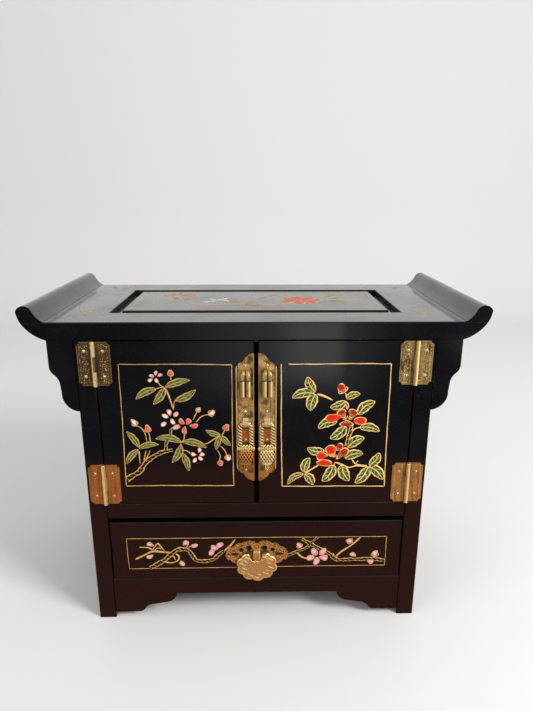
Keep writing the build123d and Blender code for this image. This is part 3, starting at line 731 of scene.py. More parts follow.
@dataclass(frozen=True)
class Enamel:
    """Paint laid on the lacquer in low relief; it reads the piece's own UV map.

    On lines and leaves the map's u runs along the stroke and v from -1 to 1 across it.
    On petals u and v run from -1 to 1 over the petal, with its root at u = -1.

    Attributes:
        name: Name of the material.
        paint: Which sort it is.
        faded: How far the paint has faded, from 0 to 1.
        rich: How pale and thick the gold lies, from 0 to 1.
        gold: Colour of thin gold.
        pale_gold: Colour of thick gold.
        dark: Colour where the paint is rubbed off.
        chalk: Colour that faded paint turns to.
        twig: Colour of the branches.
        green: Darker and lighter green of the leaves.
        rims: Colours of the petals' outer parts, in the order of Bloom.
        hearts: Colours of the petals' inner parts, in the same order.
    """

    name: str
    paint: Paint
    faded: float = 0.0
    rich: float = 0.5
    gold: Colour = (0.34, 0.16, 0.030)
    pale_gold: Colour = (0.92, 0.58, 0.20)
    dark: Colour = (0.008, 0.006, 0.005)
    chalk: Colour = (0.42, 0.38, 0.33)
    twig: Colour = (0.010, 0.006, 0.004)
    green: tuple[Colour, Colour] = ((0.006, 0.085, 0.018), (0.022, 0.190, 0.045))
    rims: Stops = (
        (0.0, (0.80, 0.40, 0.52)), (0.2, (0.70, 0.20, 0.36)), (0.4, (0.66, 0.020, 0.060)),
        (0.6, (0.74, 0.034, 0.006)), (0.8, (0.44, 0.026, 0.005)), (1.0, (0.30, 0.52, 0.62)),
    )
    hearts: Stops = (
        (0.0, (0.90, 0.78, 0.82)), (0.2, (0.80, 0.40, 0.56)), (0.4, (0.80, 0.12, 0.20)),
        (0.6, (0.56, 0.017, 0.004)), (0.8, (0.30, 0.014, 0.003)), (1.0, (0.62, 0.80, 0.84)),
    )

    def _gold(self, bench: Bench, place: Tone) -> Tone:
        """Return gold paint with thin and thick patches."""
        share = (bench.noise(place, 0.6, 3) + (self.rich - 0.5)).clamped()
        return bench.blend(share, self.gold, self.pale_gold)

    def _twig(self, bench: Bench, place: Tone, u: Tone, v: Tone) -> tuple[Tone, Tone]:
        """Paint a branch: dark, with gold along both edges and gold ticks.

        Args:
            bench: The material's node tree.
            place: Object coordinates.
            u: First map value.
            v: Second map value.

        Returns:
            The colour under the gold, and the gold's share.
        """
        wobble = bench.noise(place, 0.5, 2) - 0.5
        ticks = (u + v * 1.5 + wobble * 5.0).wave(3.7).steps(0.84, 0.96) * abs(v).steps(0.0, 0.25)
        share = abs(v + wobble * 0.25).steps(0.58, 0.68).most(ticks)
        return self.twig, share

    def _leaf(self, bench: Bench, place: Tone, u: Tone, v: Tone) -> tuple[Tone, Tone]:
        """Paint a leaf: green strokes on black, with a gold outline, rib and slanting veins.

        Args:
            bench: The material's node tree.
            place: Object coordinates.
            u: First map value.
            v: Second map value.

        Returns:
            The colour under the gold, and the gold's share.
        """
        wobble = bench.noise(place, 0.35, 2) - 0.5
        outline = abs(v + 0.14 * wobble).steps(0.68, 0.77).most(u.steps(0.92, 0.96)).most(u.steps(0.08, 0.04))
        rib = abs(v + 0.3 * wobble).steps(0.13, 0.07) * u.steps(0.92, 0.82)
        slant = u * 4.0 - abs(v) * 1.1
        veins = (slant + wobble * 0.9).wave(1.0).steps(0.88, 0.97) * abs(v).steps(0.12, 0.22)
        strokes = (slant + 0.5 + wobble * 1.2).wave(1.0).steps(-0.85, -0.45)
        patch = bench.noise(place, 0.22, 2).steps(0.34, 0.44)
        green = bench.blend(bench.noise(place, 0.5, 2), *self.green)
        return bench.blend(strokes * patch, self.dark, green), outline.most(rib).most(veins)

    def _petal(self, bench: Bench, place: Tone, u: Tone, v: Tone) -> tuple[Tone, Tone]:
        """Paint a petal in the colours that its tint picks, with a gold outline and ticks at its root.

        Args:
            bench: The material's node tree.
            place: Object coordinates.
            u: First map value.
            v: Second map value.

        Returns:
            The colour under the gold, and the gold's share.
        """
        tint = bench.tint()
        outer, inner = (
            bench.tone("ShaderNodeValToRGB", {"stops": stops}, {0: tint}) for stops in (self.rims, self.hearts)
        )
        wobble = bench.noise(place, 0.55, 2) - 0.5
        radius = (u * u + v * v).root()
        brush = (bench.noise(place, 0.9, 2) - 0.5) * 0.9
        body = bench.blend((radius * 0.9 - u * 0.35 + brush).steps(0.15, 0.75), inner, outer)
        ticks = (v * 4.0 + wobble * 1.4).wave(1.0).steps(0.72, 0.92) * u.steps(0.10, -0.40)
        ticks = ticks * tint.steps(0.70, 0.76)
        rim = (radius + 0.18 * wobble + 0.14 * tint.steps(0.55, 0.50)).steps(0.82, 0.89)
        return body, rim.most(ticks * 0.9)

    def material(self) -> bpy.types.Material:
        """Make the material.

        Returns:
            The Blender material.
        """
        material, bench = Bench.of_material(self.name)
        place = bench.place()
        u, v, _ = bench.axes(bench.tone("ShaderNodeUVMap", {"uv_map": "UVMap"}))
        gold = self._gold(bench, place)
        if self.paint is Paint.GOLD:
            colour, share = gold, 0.9 + 0.1 * v
        else:
            layer = {Paint.TWIG: self._twig, Paint.LEAF: self._leaf, Paint.PETAL: self._petal}[self.paint]
            body, share = layer(bench, place, u, v)
            colour = bench.blend(share, body, gold)
        rubs = bench.noise(place, 0.35, 4, 0.65).steps(0.62, 0.74) * (0.35 + 0.6 * self.faded)
        colour = bench.blend(rubs, colour, self.dark)
        if self.faded > 0:
            colour = bench.blend(self.faded * 0.5, colour, self.chalk)
        bench.finish(
            Base_Color=colour, Metallic=(share * 0.15).least(0.15), Roughness=0.48 + 0.2 * bench.noise(place, 1.4, 2),
            Specular_IOR_Level=0.12, Normal=bench.bump(bench.noise(place, 0.8, 3) * 0.5 + share * 0.5, 0.10),
        )
        return material


# ---------------------------------------------------------------- surfaces


def flow(points: Sequence[Point], steps: int) -> np.ndarray:
    """Return a smooth line through a few points.

    Between two points it is the cubic whose slope at each point is half the step from its
    neighbour before to its neighbour after (Catmull-Rom), with the ends mirrored.

    Args:
        points: The points that it passes.
        steps: Steps between neighbouring points.

    Returns:
        An array of (n, 2) points.
    """
    p = np.asarray(points, float)
    padded = np.vstack([2 * p[0] - p[1], p, 2 * p[-1] - p[-2]])
    before, start, end, after = padded[:-3], padded[1:-2], padded[2:-1], padded[3:]
    t = np.linspace(0, 1, steps, endpoint=False)[None, :, None]
    curve = 0.5 * (
        2 * start[:, None]
        + (end - before)[:, None] * t
        + (2 * before - 5 * start + 4 * end - after)[:, None] * t**2
        + (3 * start - before - 3 * end + after)[:, None] * t**3
    )
    return np.vstack([curve.reshape(-1, p.shape[1]), p[-1:]])


def walked(line: np.ndarray) -> np.ndarray:
    """Return the length walked along a line up to each of its points."""
    return np.concatenate([[0.0], np.cumsum(np.linalg.norm(np.diff(line, axis=0), axis=1))])


def spaced(line: np.ndarray, count: int) -> np.ndarray:
    """Read a line at even shares of its length.

    Args:
        line: (n, k) points.
        count: How many points to read.

    Returns:
        An array of (count, k) points.
    """
    length = walked(line)
    at = np.linspace(0, length[-1], count)
    return np.stack([np.interp(at, length, column) for column in line.T], axis=1)


def circle(count: int) -> np.ndarray:
    """Return angles in even steps once round."""
    return np.linspace(0, 2 * np.pi, count, endpoint=False)


def left_of(way: np.ndarray) -> np.ndarray:
    """Return the unit vectors to the left of vectors in a plane."""
    return np.stack([-way[..., 1], way[..., 0]], -1) / (np.linalg.norm(way, axis=-1, keepdims=True) + TINY)


def spun(degrees: float) -> np.ndarray:
    """Return the matrix that turns a plane's row vectors by an angle."""
    turn = math.radians(degrees)
    return np.array([[math.cos(turn), math.sin(turn)], [-math.sin(turn), math.cos(turn)]])


def powered(wave: np.ndarray, power: Union[float, np.ndarray]) -> np.ndarray:
    """Return the wave with its size raised to a power and its sign kept."""
    return np.sign(wave) * np.abs(wave) ** power


def bell(values: np.ndarray, middle: float, width: float) -> np.ndarray:
    """Return e to the power of minus the square of the distance to the middle over the width."""
    return np.exp(-(((values - middle) / width) ** 2))


@dataclass
class Surface:
    """Points, faces and a UV pair for each point, in mm.

    Attributes:
        points: (n, 3) places.
        quads: (k, 4) point numbers.
        caps: Point numbers of each filled end.
        uv: (n, 2) map.
        tint: A number for the whole surface, or for each point, that its finish reads.
    """

    points: np.ndarray
    quads: np.ndarray
    caps: list[np.ndarray]
    uv: np.ndarray
    tint: Union[float, np.ndarray]

    @classmethod
    def of_rings(
        cls,
        rings: np.ndarray,
        uv: Optional[np.ndarray] = None,
        tint: Union[float, np.ndarray] = 0.0,
        loop: bool = False,
    ) -> "Surface":
        """Skin a row of rings and close it.

        Each ring's point k joins the next ring's point k; the last point of a ring joins its
        first. The first and last ring are filled, or joined to each other for a loop.

        Args:
            rings: (n, m, 3) points.
            uv: (n, m, 2) map, if the finish reads one.
            tint: The number that the finish reads.
            loop: True if the last ring joins the first.

        Returns:
            The closed surface.
        """
        n, m, _ = rings.shape
        order = np.arange(n * m).reshape(n, m)
        near = order if loop else order[:-1]
        far = np.roll(order, -1, 0) if loop else order[1:]
        quads = np.stack([near, np.roll(near, -1, 1), np.roll(far, -1, 1), far], -1).reshape(-1, 4)
        caps = [] if loop else [order[0][::-1], order[-1]]
        uv = np.zeros((n, m, 2)) if uv is None else uv
        return cls(rings.reshape(-1, 3), quads, caps, uv.reshape(-1, 2), tint)

    def faces(self, start: int) -> list[list[int]]:
        """Return the faces, with the point numbers counted on from the start."""
        return (self.quads + start).tolist() + [(cap + start).tolist() for cap in self.caps]


def cast(
    name: str,
    parts: Iterable[Surface],
    finish: bpy.types.Material,
    body: str,
    smooth: bool = True,
) -> bpy.types.Object:
    """Make one piece out of closed surfaces.

    Args:
        name: Name of the piece.
        parts: Its surfaces, in mm.
        finish: Its material.
        body: The body that it rides on.
        smooth: True for smooth shading.

    Returns:
        The object, at the origin, with its place in its mesh.
    """
    parts = list(parts)
    starts = np.cumsum([0] + [len(part.points) for part in parts[:-1]])
    points = np.vstack([part.points for part in parts]) * MM
    faces = [face for part, start in zip(parts, starts) for face in part.faces(start)]
    uv = np.vstack([p.uv for p in parts])
    tint = np.concatenate([np.broadcast_to(np.ravel(p.tint), len(p.points)) for p in parts])
    mesh = bpy.data.meshes.new(name)
    mesh.from_pydata(points.tolist(), [], faces)
    corner = np.zeros(len(mesh.loops), np.int64)
    mesh.loops.foreach_get("vertex_index", corner)
    layer = mesh.uv_layers.new(name="UVMap")
    layer.data.foreach_set("uv", uv[corner].astype(np.float32).ravel())
    mesh.attributes.new("tint", "FLOAT", "POINT").data.foreach_set("value", tint.astype(np.float32))
    shell = bmesh.new()
    shell.from_mesh(mesh)
    bmesh.ops.recalc_face_normals(shell, faces=shell.faces)
    shell.to_mesh(mesh)
    shell.free()
    mesh.polygons.foreach_set("use_smooth", np.full(len(mesh.polygons), smooth))
    mesh.materials.append(finish)
    mesh.update()
    piece = bpy.data.objects.new(name, mesh)
    bpy.context.scene.collection.objects.link(piece)
    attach(piece, body)
    LOG.info("%s: %d points on %s", name, len(mesh.vertices), body)
    return piece


@dataclass(frozen=True)
class Face:
    """A flat face of the cabinet that carries painting, in mm.

    Attributes:
        origin: A point on it.
        right: The painting's first axis.
        up: The painting's second axis.
        out: The way that it faces.
        sunk: How far a stroke reaches into the face.
    """

    origin: Place
    right: Place = (1, 0, 0)
    up: Place = (0, 0, 1)
    out: Place = (0, -1, 0)
    sunk: float = 0.05

    def lift(self, flat: np.ndarray, height: np.ndarray) -> np.ndarray:
        """Return places: origin + first * right + second * up + height * out."""
        axes = np.array([self.right, self.up, self.out], float)
        return np.array(self.origin) + np.concatenate([flat, height[..., None]], -1) @ axes

    def band(self, line: np.ndarray, half: np.ndarray, height: float, u: np.ndarray, sides: int) -> Surface:
        """Lay a low, closed stroke along a line.

        The cross-section is an angle that runs round: its cosine times the half width goes
        across the line, and the root of its sine times the height goes up. Below the face it is
        shallow, and where the stroke is narrow it is lower.

        Args:
            line: (n, 2) points of the middle line.
            half: (n,) half widths.
            height: Relief above the face.
            u: (n,) first map value.
            sides: Points round the section.

        Returns:
            The stroke.
        """
        angle = circle(sides)
        across, rise = np.cos(angle), np.sin(angle)
        flat = line[:, None] + left_of(np.gradient(line, axis=0))[:, None] * (half[:, None] * across)[..., None]
        swell = np.minimum(1, half / (half.max() + TINY) * 2)
        rise = np.where(rise > 0, height * np.sqrt(np.abs(rise)), -self.sunk * np.abs(rise))
        uv = np.stack(np.broadcast_arrays(u[:, None], across[None]), -1)
        return Surface.of_rings(self.lift(flat, swell[:, None] * rise), uv)


class Bloom(Enum):
    """Colour of a petal or bud, as the number that the paint reads."""

    WHITE = 0.04
    PINK = 0.2
    ROSE = 0.4
    SCARLET = 0.6
    DARK_RED = 0.8
    PALE_BLUE = 1.0


@dataclass(frozen=True)
class Line:
    """A painted line: its points, its width in mm and how far its width sways."""

    points: Sequence[Point]
    width: float
    sway: float = 0.18


@dataclass(frozen=True)
class Branch:
    """A branch with two gold edges: its points and its width at both ends."""

    points: Sequence[Point]
    start: float
    end: float


@dataclass(frozen=True)
class Leaf:
    """A leaf from its root to its tip, with its breadth and the bow of its middle rib."""

    root: Point
    tip: Point
    breadth: float
    bow: float


@dataclass(frozen=True)
class Petal:
    """A petal: its middle, half sizes, turn in degrees, colour and relief."""

    middle: Point
    half: Point
    turn: float
    bloom: Bloom
    height: float = 0.35


@dataclass(frozen=True)
class Bud:
    """A bud on a stem: its middle, the points of its stem, half sizes and colour."""

    middle: Point
    stem: Sequence[Point]
    half: Point
    bloom: Bloom


@dataclass(frozen=True)
class Frame:
    """A ruled gold frame.

    Attributes:
        corners: Its corners from the lower left, by the upper left, round to the lower right.
        width: Width of the line, in mm.
        worn: Whether the top line's start is worn away.
        thin: How far the line thins out toward the upper left corner, from 0 to 1.
    """

    corners: tuple[Point, Point, Point, Point]
    width: float
    worn: bool = False
    thin: float = 0.0


@dataclass
class Painting:
    """A painted panel: gold lines, branches, leaves and petals in low relief on one face.

    Attributes:
        name: Prefix of its pieces.
        body: The body that it rides on.
        face: The face that it is painted on.
        frames: Ruled frames.
        lines: Gold lines.
        branches: Branches.
        leaves: Leaves.
        petals: Petals.
        buds: Buds.
        faded: How far the paint has faded.
        rich: How pale and thick the gold lies.
        plump: How broad the leaves are against their written sizes.
        seed: Seed of the hand's unsteadiness.
        relief: Height of a gold line, in mm; branches and leaves stand a little higher.
    """

    name: str
    body: str
    face: Face
    frames: list[Frame] = field(default_factory=list)
    lines: list[Line] = field(default_factory=list)
    branches: list[Branch] = field(default_factory=list)
    leaves: list[Leaf] = field(default_factory=list)
    petals: list[Petal] = field(default_factory=list)
    buds: list[Bud] = field(default_factory=list)
    faded: float = 0.0
    rich: float = 0.5
    plump: float = 1.0
    seed: int = 3
    relief: float = 0.16

    def __post_init__(self) -> None:
        """Seed the hand."""
        self.hand = np.random.default_rng(self.seed)

    def _phase(self) -> float:
        """Return the next angle that the hand starts a sway at."""
        return self.hand.uniform(0, 6)

    def _ruled(self, frame: Frame) -> list[Surface]:
        """Rule a frame: each side is a line with a slow sway, a breadth that swells and its own worn places.

        Args:
            frame: The frame.

        Returns:
            Its four sides.
        """
        parts = []
        along = np.linspace(0, 1, 60)
        for number, (start, end) in enumerate(zip(frame.corners, frame.corners[1:] + frame.corners[:1])):
            line = np.linspace(start, end, len(along))
            sway = 0.22 * np.sin(along * 7 + self._phase()) + 0.08 * np.sin(along * 31 + number)
            line = line + left_of(line[-1] - line[0]) * sway[:, None] * min(1.0, frame.width)
            if frame.worn and number == 1:
                line = line[4:]
            u = np.linspace(0, np.linalg.norm(line[-1] - line[0]), len(line))
            breadth = 1 + 0.16 * np.sin(u / 3.1 + self._phase())
            near = np.linspace(0, 1, len(line))
            near = (near, 1 - near, 0.7 * (1 - near), 0 * near)[number]
            breadth = breadth * (1 - frame.thin * near**1.5)
            parts.append(self.face.band(line, frame.width / 2 * breadth, self.relief, u, 6))
        return parts

    def _stroke(self, line: Line) -> Surface:
        """Draw a gold line whose ends narrow as a root over the last width or two.

        Args:
            line: The line.

        Returns:
            The stroke.
        """
        path = flow(line.points, 9)
        length = walked(path)
        ends = np.minimum(length, length[-1] - length) / (1.4 * line.width)
        sway = 1 + line.sway * np.sin(length / (1.3 + line.width) + self._phase())
        breadth = np.sqrt(np.clip(ends, 0.05, 1)) * sway
        return self.face.band(path, line.width / 2 * breadth, self.relief, length, 6)

    def _bough(self, branch: Branch) -> Surface:
        """Draw a branch: the half width runs evenly from start to end and is knobbed by two sines.

        Args:
            branch: The branch.

        Returns:
            The stroke.
        """
        path = flow(branch.points, 10)
        length = walked(path)
        phase = self._phase()
        half = (branch.start + (branch.end - branch.start) * length / length[-1]) / 2
        half = half * (1 + 0.13 * np.sin(length / 1.9 + phase) + 0.08 * np.sin(length / 0.8 + phase * 2))
        return self.face.band(path, half, self.relief * 1.1, length, 10)

    def _leaf(self, leaf: Leaf) -> Surface:
        """Draw a leaf.

        Its middle line is the straight line from root to tip plus the bow times a half sine and
        its length to the left. Its half breadth is the sine of pi times the share walked to the
        power 0.85.

        Args:
            leaf: The leaf.

        Returns:
            The stroke.
        """
        root, reach = np.array(leaf.root), np.subtract(leaf.tip, leaf.root)
        share = np.linspace(0, 1, 26)
        bow = leaf.bow * np.linalg.norm(reach) * np.sin(np.pi * share)
        path = root + share[:, None] * reach + bow[:, None] * left_of(reach)
        breadth = self.plump * np.clip(np.sin(np.pi * share**0.85), 0.0, 1) ** (0.8 / self.plump**2)
        breadth = np.maximum(breadth * (1 + 0.05 * np.sin(share * 17 + self._phase())), 0.03)
        return self.face.band(path, leaf.breadth / 2 * breadth, self.relief * 1.3, share, 16)

    def _petal(self, petal: Petal) -> Surface:
        """Draw a petal.

        Its rings are shares of its outline, which is an ellipse times one plus two small waves
        of the angle, drawn in toward its root. The relief falls from the first ring to the
        outline, and the last two rings close it below the face.

        Args:
            petal: The petal.

        Returns:
            The petal's surface.
        """
        angle = circle(20)
        edge = 1 + 0.06 * np.sin(2 * angle + self._phase()) + 0.09 * np.sin(3 * angle + self._phase())
        shares = np.array([0.04, 0.3, 0.55, 0.78, 0.92, 1.0, 0.5, 0.04])
        lifts = np.array([1.0, 0.99, 0.96, 0.86, 0.62, 0.0, -0.15, -0.15]) * petal.height
        unit = shares[:, None, None] * (np.stack([np.cos(angle), np.sin(angle)], 1) * edge[:, None])
        taper = np.stack([np.ones_like(unit[..., 0]), 0.84 + 0.26 * unit[..., 0]], -1)
        flat = np.array(petal.middle) + (unit * np.array(petal.half) * taper) @ spun(petal.turn)
        rings = self.face.lift(flat, np.broadcast_to(lifts[:, None], flat.shape[:2]))
        return Surface.of_rings(rings, unit, petal.bloom.value)

    def _bud(self, bud: Bud) -> tuple[Surface, list[Surface]]:
        """Draw a bud.

        Args:
            bud: The bud.

        Returns:
            Its body, and its gold stem with two short sepals.
        """
        middle = np.array(bud.middle)
        way = middle - np.array(bud.stem[0])
        way = way / np.linalg.norm(way)
        body = self._petal(Petal(bud.middle, bud.half, math.degrees(math.atan2(way[1], way[0])), bud.bloom, 0.38))
        heel = middle - way * bud.half[0] * 0.9
        gold = [self._stroke(Line([*bud.stem, tuple(heel)], 0.75))]
        for hand in (-1, 1):
            side = left_of(way) * hand * bud.half[1]
            sepal = [heel, heel + way * 1.4 + side * 1.05, heel + way * 3.6 + side * 0.95]
            gold.append(self._stroke(Line([tuple(point) for point in sepal], 0.8)))
        return body, gold

    def build(self) -> None:
        """Make up to four pieces: the gold lines, the branches, the leaves and the petals."""
        gold = [part for frame in self.frames for part in self._ruled(frame)]
        gold += [self._stroke(line) for line in self.lines]
        petals = [self._petal(petal) for petal in self.petals]
        for bud in self.buds:
            body, stem = self._bud(bud)
            petals.append(body)
            gold += stem
        groups = {
            Paint.GOLD: ("gold_lines", gold),
            Paint.TWIG: ("branches", [self._bough(branch) for branch in self.branches]),
            Paint.LEAF: ("leaves", [self._leaf(leaf) for leaf in self.leaves]),
            Paint.PETAL: ("petals", petals),
        }
        for paint, (word, parts) in groups.items():
            if parts:
                name = f"{self.name}_{word}"
                enamel = Enamel(f"{name}_paint", paint, self.faded, self.rich)
                cast(name, parts, enamel.material(), self.body)


# ---------------------------------------------------------------- what is painted


def cluster(
    middles: Sequence[Point], bloom: Bloom, half: Point, lean: float = 4.0, eye: Optional[Point] = None
) -> list[Petal]:
    """Set petals of one colour with their tips turned away from the flower's eye."""
    x, y = np.mean(middles, axis=0) if eye is None else eye
    return [Petal(m, half, math.degrees(math.atan2(m[1] - y, m[0] - x)) + lean, bloom) for m in middles]


def rosette(middle: Point, reach: Point, turns: np.ndarray, half: Point, lean: float, height: float) -> list[Petal]:
    """Set scarlet petals round an ellipse."""
    places = np.array(middle) + np.stack([np.cos(turns), np.sin(turns)], 1) * np.array(reach)
    return [Petal(tuple(p), half, math.degrees(a) + lean, Bloom.SCARLET, height) for p, a in zip(places, turns)]


def stamens(eye: Point, reach: float, turns: Point) -> list[Line]:
    """Draw seven fine stamens that fan out of a flower's eye."""
    ways = [np.array([math.cos(a), math.sin(a)]) for a in np.linspace(*turns, 7)]
    return [Line([tuple(eye + 0.8 * way), tuple(eye + reach * way * (1.0, 0.8))], 0.62) for way in ways]


def left_door_painting(face: Face) -> list[Painting]:
    """Draw the left door's pink blossom: a free spray above and a branch below.

    Args:
        face: The face that it is painted on.

    Returns:
        The paintings, in the order that they are made.
    """
    leaves = [
        Leaf((-66.3, 202.2), (-48.3, 207.6), 5.4, 0.06), Leaf((-59.8, 191.8), (-44.4, 200.2), 5.4, -0.08),
        Leaf((-66.8, 201.8), (-75.8, 188.9), 5.6, 0.06), Leaf((-73.0, 200.8), (-88.3, 193.0), 5.4, -0.10),
        Leaf((-88.4, 154.4), (-97.0, 167.4), 4.8, -0.06), Leaf((-89.1, 152.5), (-98.4, 140.6), 5.0, -0.08),
        Leaf((-88.5, 153.6), (-73.5, 156.4), 4.6, 0.10), Leaf((-56.4, 158.2), (-75.7, 161.2), 5.4, -0.12),
        Leaf((-55.5, 158.6), (-37.8, 153.6), 5.4, 0.10), Leaf((-56.6, 156.2), (-64.2, 141.4), 5.4, 0.08),
        Leaf((-56.3, 149.2), (-51.8, 134.1), 5.0, 0.06), Leaf((-27.1, 164.3), (-38.0, 168.2), 4.2, 0.08),
        Leaf((-26.9, 163.2), (-30.4, 151.6), 4.2, -0.05), Leaf((-25.8, 163.6), (-19.3, 155.4), 4.2, -0.08),
    ]
    lines = [
        Line([(-66.4, 201.8), (-63.6, 193.8), (-61.5, 185.5)], 1.1),
        Line([(-58.9, 192.6), (-60.4, 190.2), (-61.4, 184.4)], 0.8),
        Line([(-73.4, 200.8), (-70.0, 202.0), (-66.3, 202.2)], 0.8),
        Line([(-72.6, 207.7), (-71.2, 205.4), (-69.3, 203.3), (-66.9, 202.2)], 0.8),
        Line([(-88.4, 140.5), (-88.6, 151.5)], 0.9), Line([(-85.4, 143.0), (-84.4, 147.2), (-83.2, 151.7)], 0.8),
        Line([(-84.4, 143.8), (-82.0, 147.6), (-80.2, 151.9)], 0.8),
        Line([(-40.2, 156.6), (-36.8, 157.3), (-33.0, 159.9), (-27.2, 163.8)], 0.9),
        Line([(-56.2, 151.9), (-52.8, 151.2), (-49.7, 148.8)], 0.8),
        Line([(-56.6, 157.8), (-54.4, 160.8), (-53.9, 165.3)], 0.9), Line([(-56.8, 158.0), (-56.3, 149.4)], 0.7),
        Line([(-64.0, 168.6), (-61.2, 171.4), (-57.2, 172.6)], 0.7),
    ]
    branches = [
        Branch([(-99.3, 127.4), (-94.6, 130.6), (-89.2, 134.2), (-84.2, 141.4), (-78.0, 146.6), (-70.7, 150.4),
            (-63.4, 151.9)], 4.6, 2.9),
        Branch([(-68.4, 151.2), (-67.6, 158.2), (-64.6, 163.2), (-63.6, 169.4)], 2.8, 1.9),
    ]
    petals = [
        *cluster([(-75.7, 211.0), (-72.7, 213.0), (-69.9, 211.5)], Bloom.PINK, (1.9, 1.5), eye=(-73.2, 209.6)),
        *cluster([(-76.9, 207.8), (-72.5, 207.5)], Bloom.WHITE, (2.0, 1.6), eye=(-73.2, 209.6)),
        *cluster([(-67.4, 179.5), (-64.3, 182.4), (-62.3, 175.2), (-68.9, 173.2)], Bloom.WHITE,
            (2.6, 2.0), eye=(-63.8, 177.8)),
        *cluster([(-59.7, 180.8)], Bloom.PINK, (2.4, 2.0), eye=(-63.8, 177.8)),
        *cluster([(-59.4, 170.7)], Bloom.PINK, (3.0, 2.3), eye=(-53.2, 171.8)),
        *cluster([(-55.6, 175.0), (-50.6, 175.0)], Bloom.ROSE, (2.7, 2.3), eye=(-53.2, 171.8)),
        *cluster([(-46.6, 171.6), (-53.8, 168.0)], Bloom.ROSE, (3.0, 2.3), eye=(-53.2, 171.8)),
        *cluster([(-47.6, 148.2), (-43.0, 151.6), (-41.4, 148.1), (-46.8, 143.4), (-42.7, 144.9)], Bloom.WHITE,
            (2.1, 1.8)),
    ]
    buds = [
        Bud((-62.0, 213.0), [(-62.0, 207.6), (-61.9, 209.0)], (2.8, 1.8), Bloom.ROSE),
        Bud((-90.6, 174.4), [(-82.2, 159.4), (-83.4, 166.2), (-86.4, 170.6)], (3.2, 2.0), Bloom.WHITE),
        Bud((-81.0, 169.6), [(-79.6, 158.6), (-80.0, 163.6)], (3.4, 2.0), Bloom.ROSE),
        Bud((-43.0, 184.4), [(-47.0, 176.4), (-45.4, 180.2)], (2.4, 1.5), Bloom.PINK),
        Bud((-33.2, 181.7), [(-45.0, 174.2), (-41.4, 178.6), (-37.8, 180.2)], (2.9, 2.2), Bloom.WHITE),
        Bud((-22.6, 170.2), [(-25.9, 163.8), (-24.6, 166.2)], (3.0, 2.0), Bloom.ROSE),
        Bud((-27.6, 140.8), [(-29.6, 151.6), (-27.6, 147.6)], (2.6, 1.8), Bloom.ROSE),
        Bud((-21.6, 145.2), [(-27.0, 155.2), (-23.6, 150.6)], (2.9, 2.0), Bloom.WHITE),
    ]
    frames = [Frame(((-99.9, 122.0), (-99.1, 220.0), (-17.9, 219.3), (-17.8, 121.6)), 0.74, thin=0.45)]
    door = Painting("left_door", "left_door", face, frames, lines, branches, leaves, petals, buds, plump=1.06, seed=11)
    return [door]


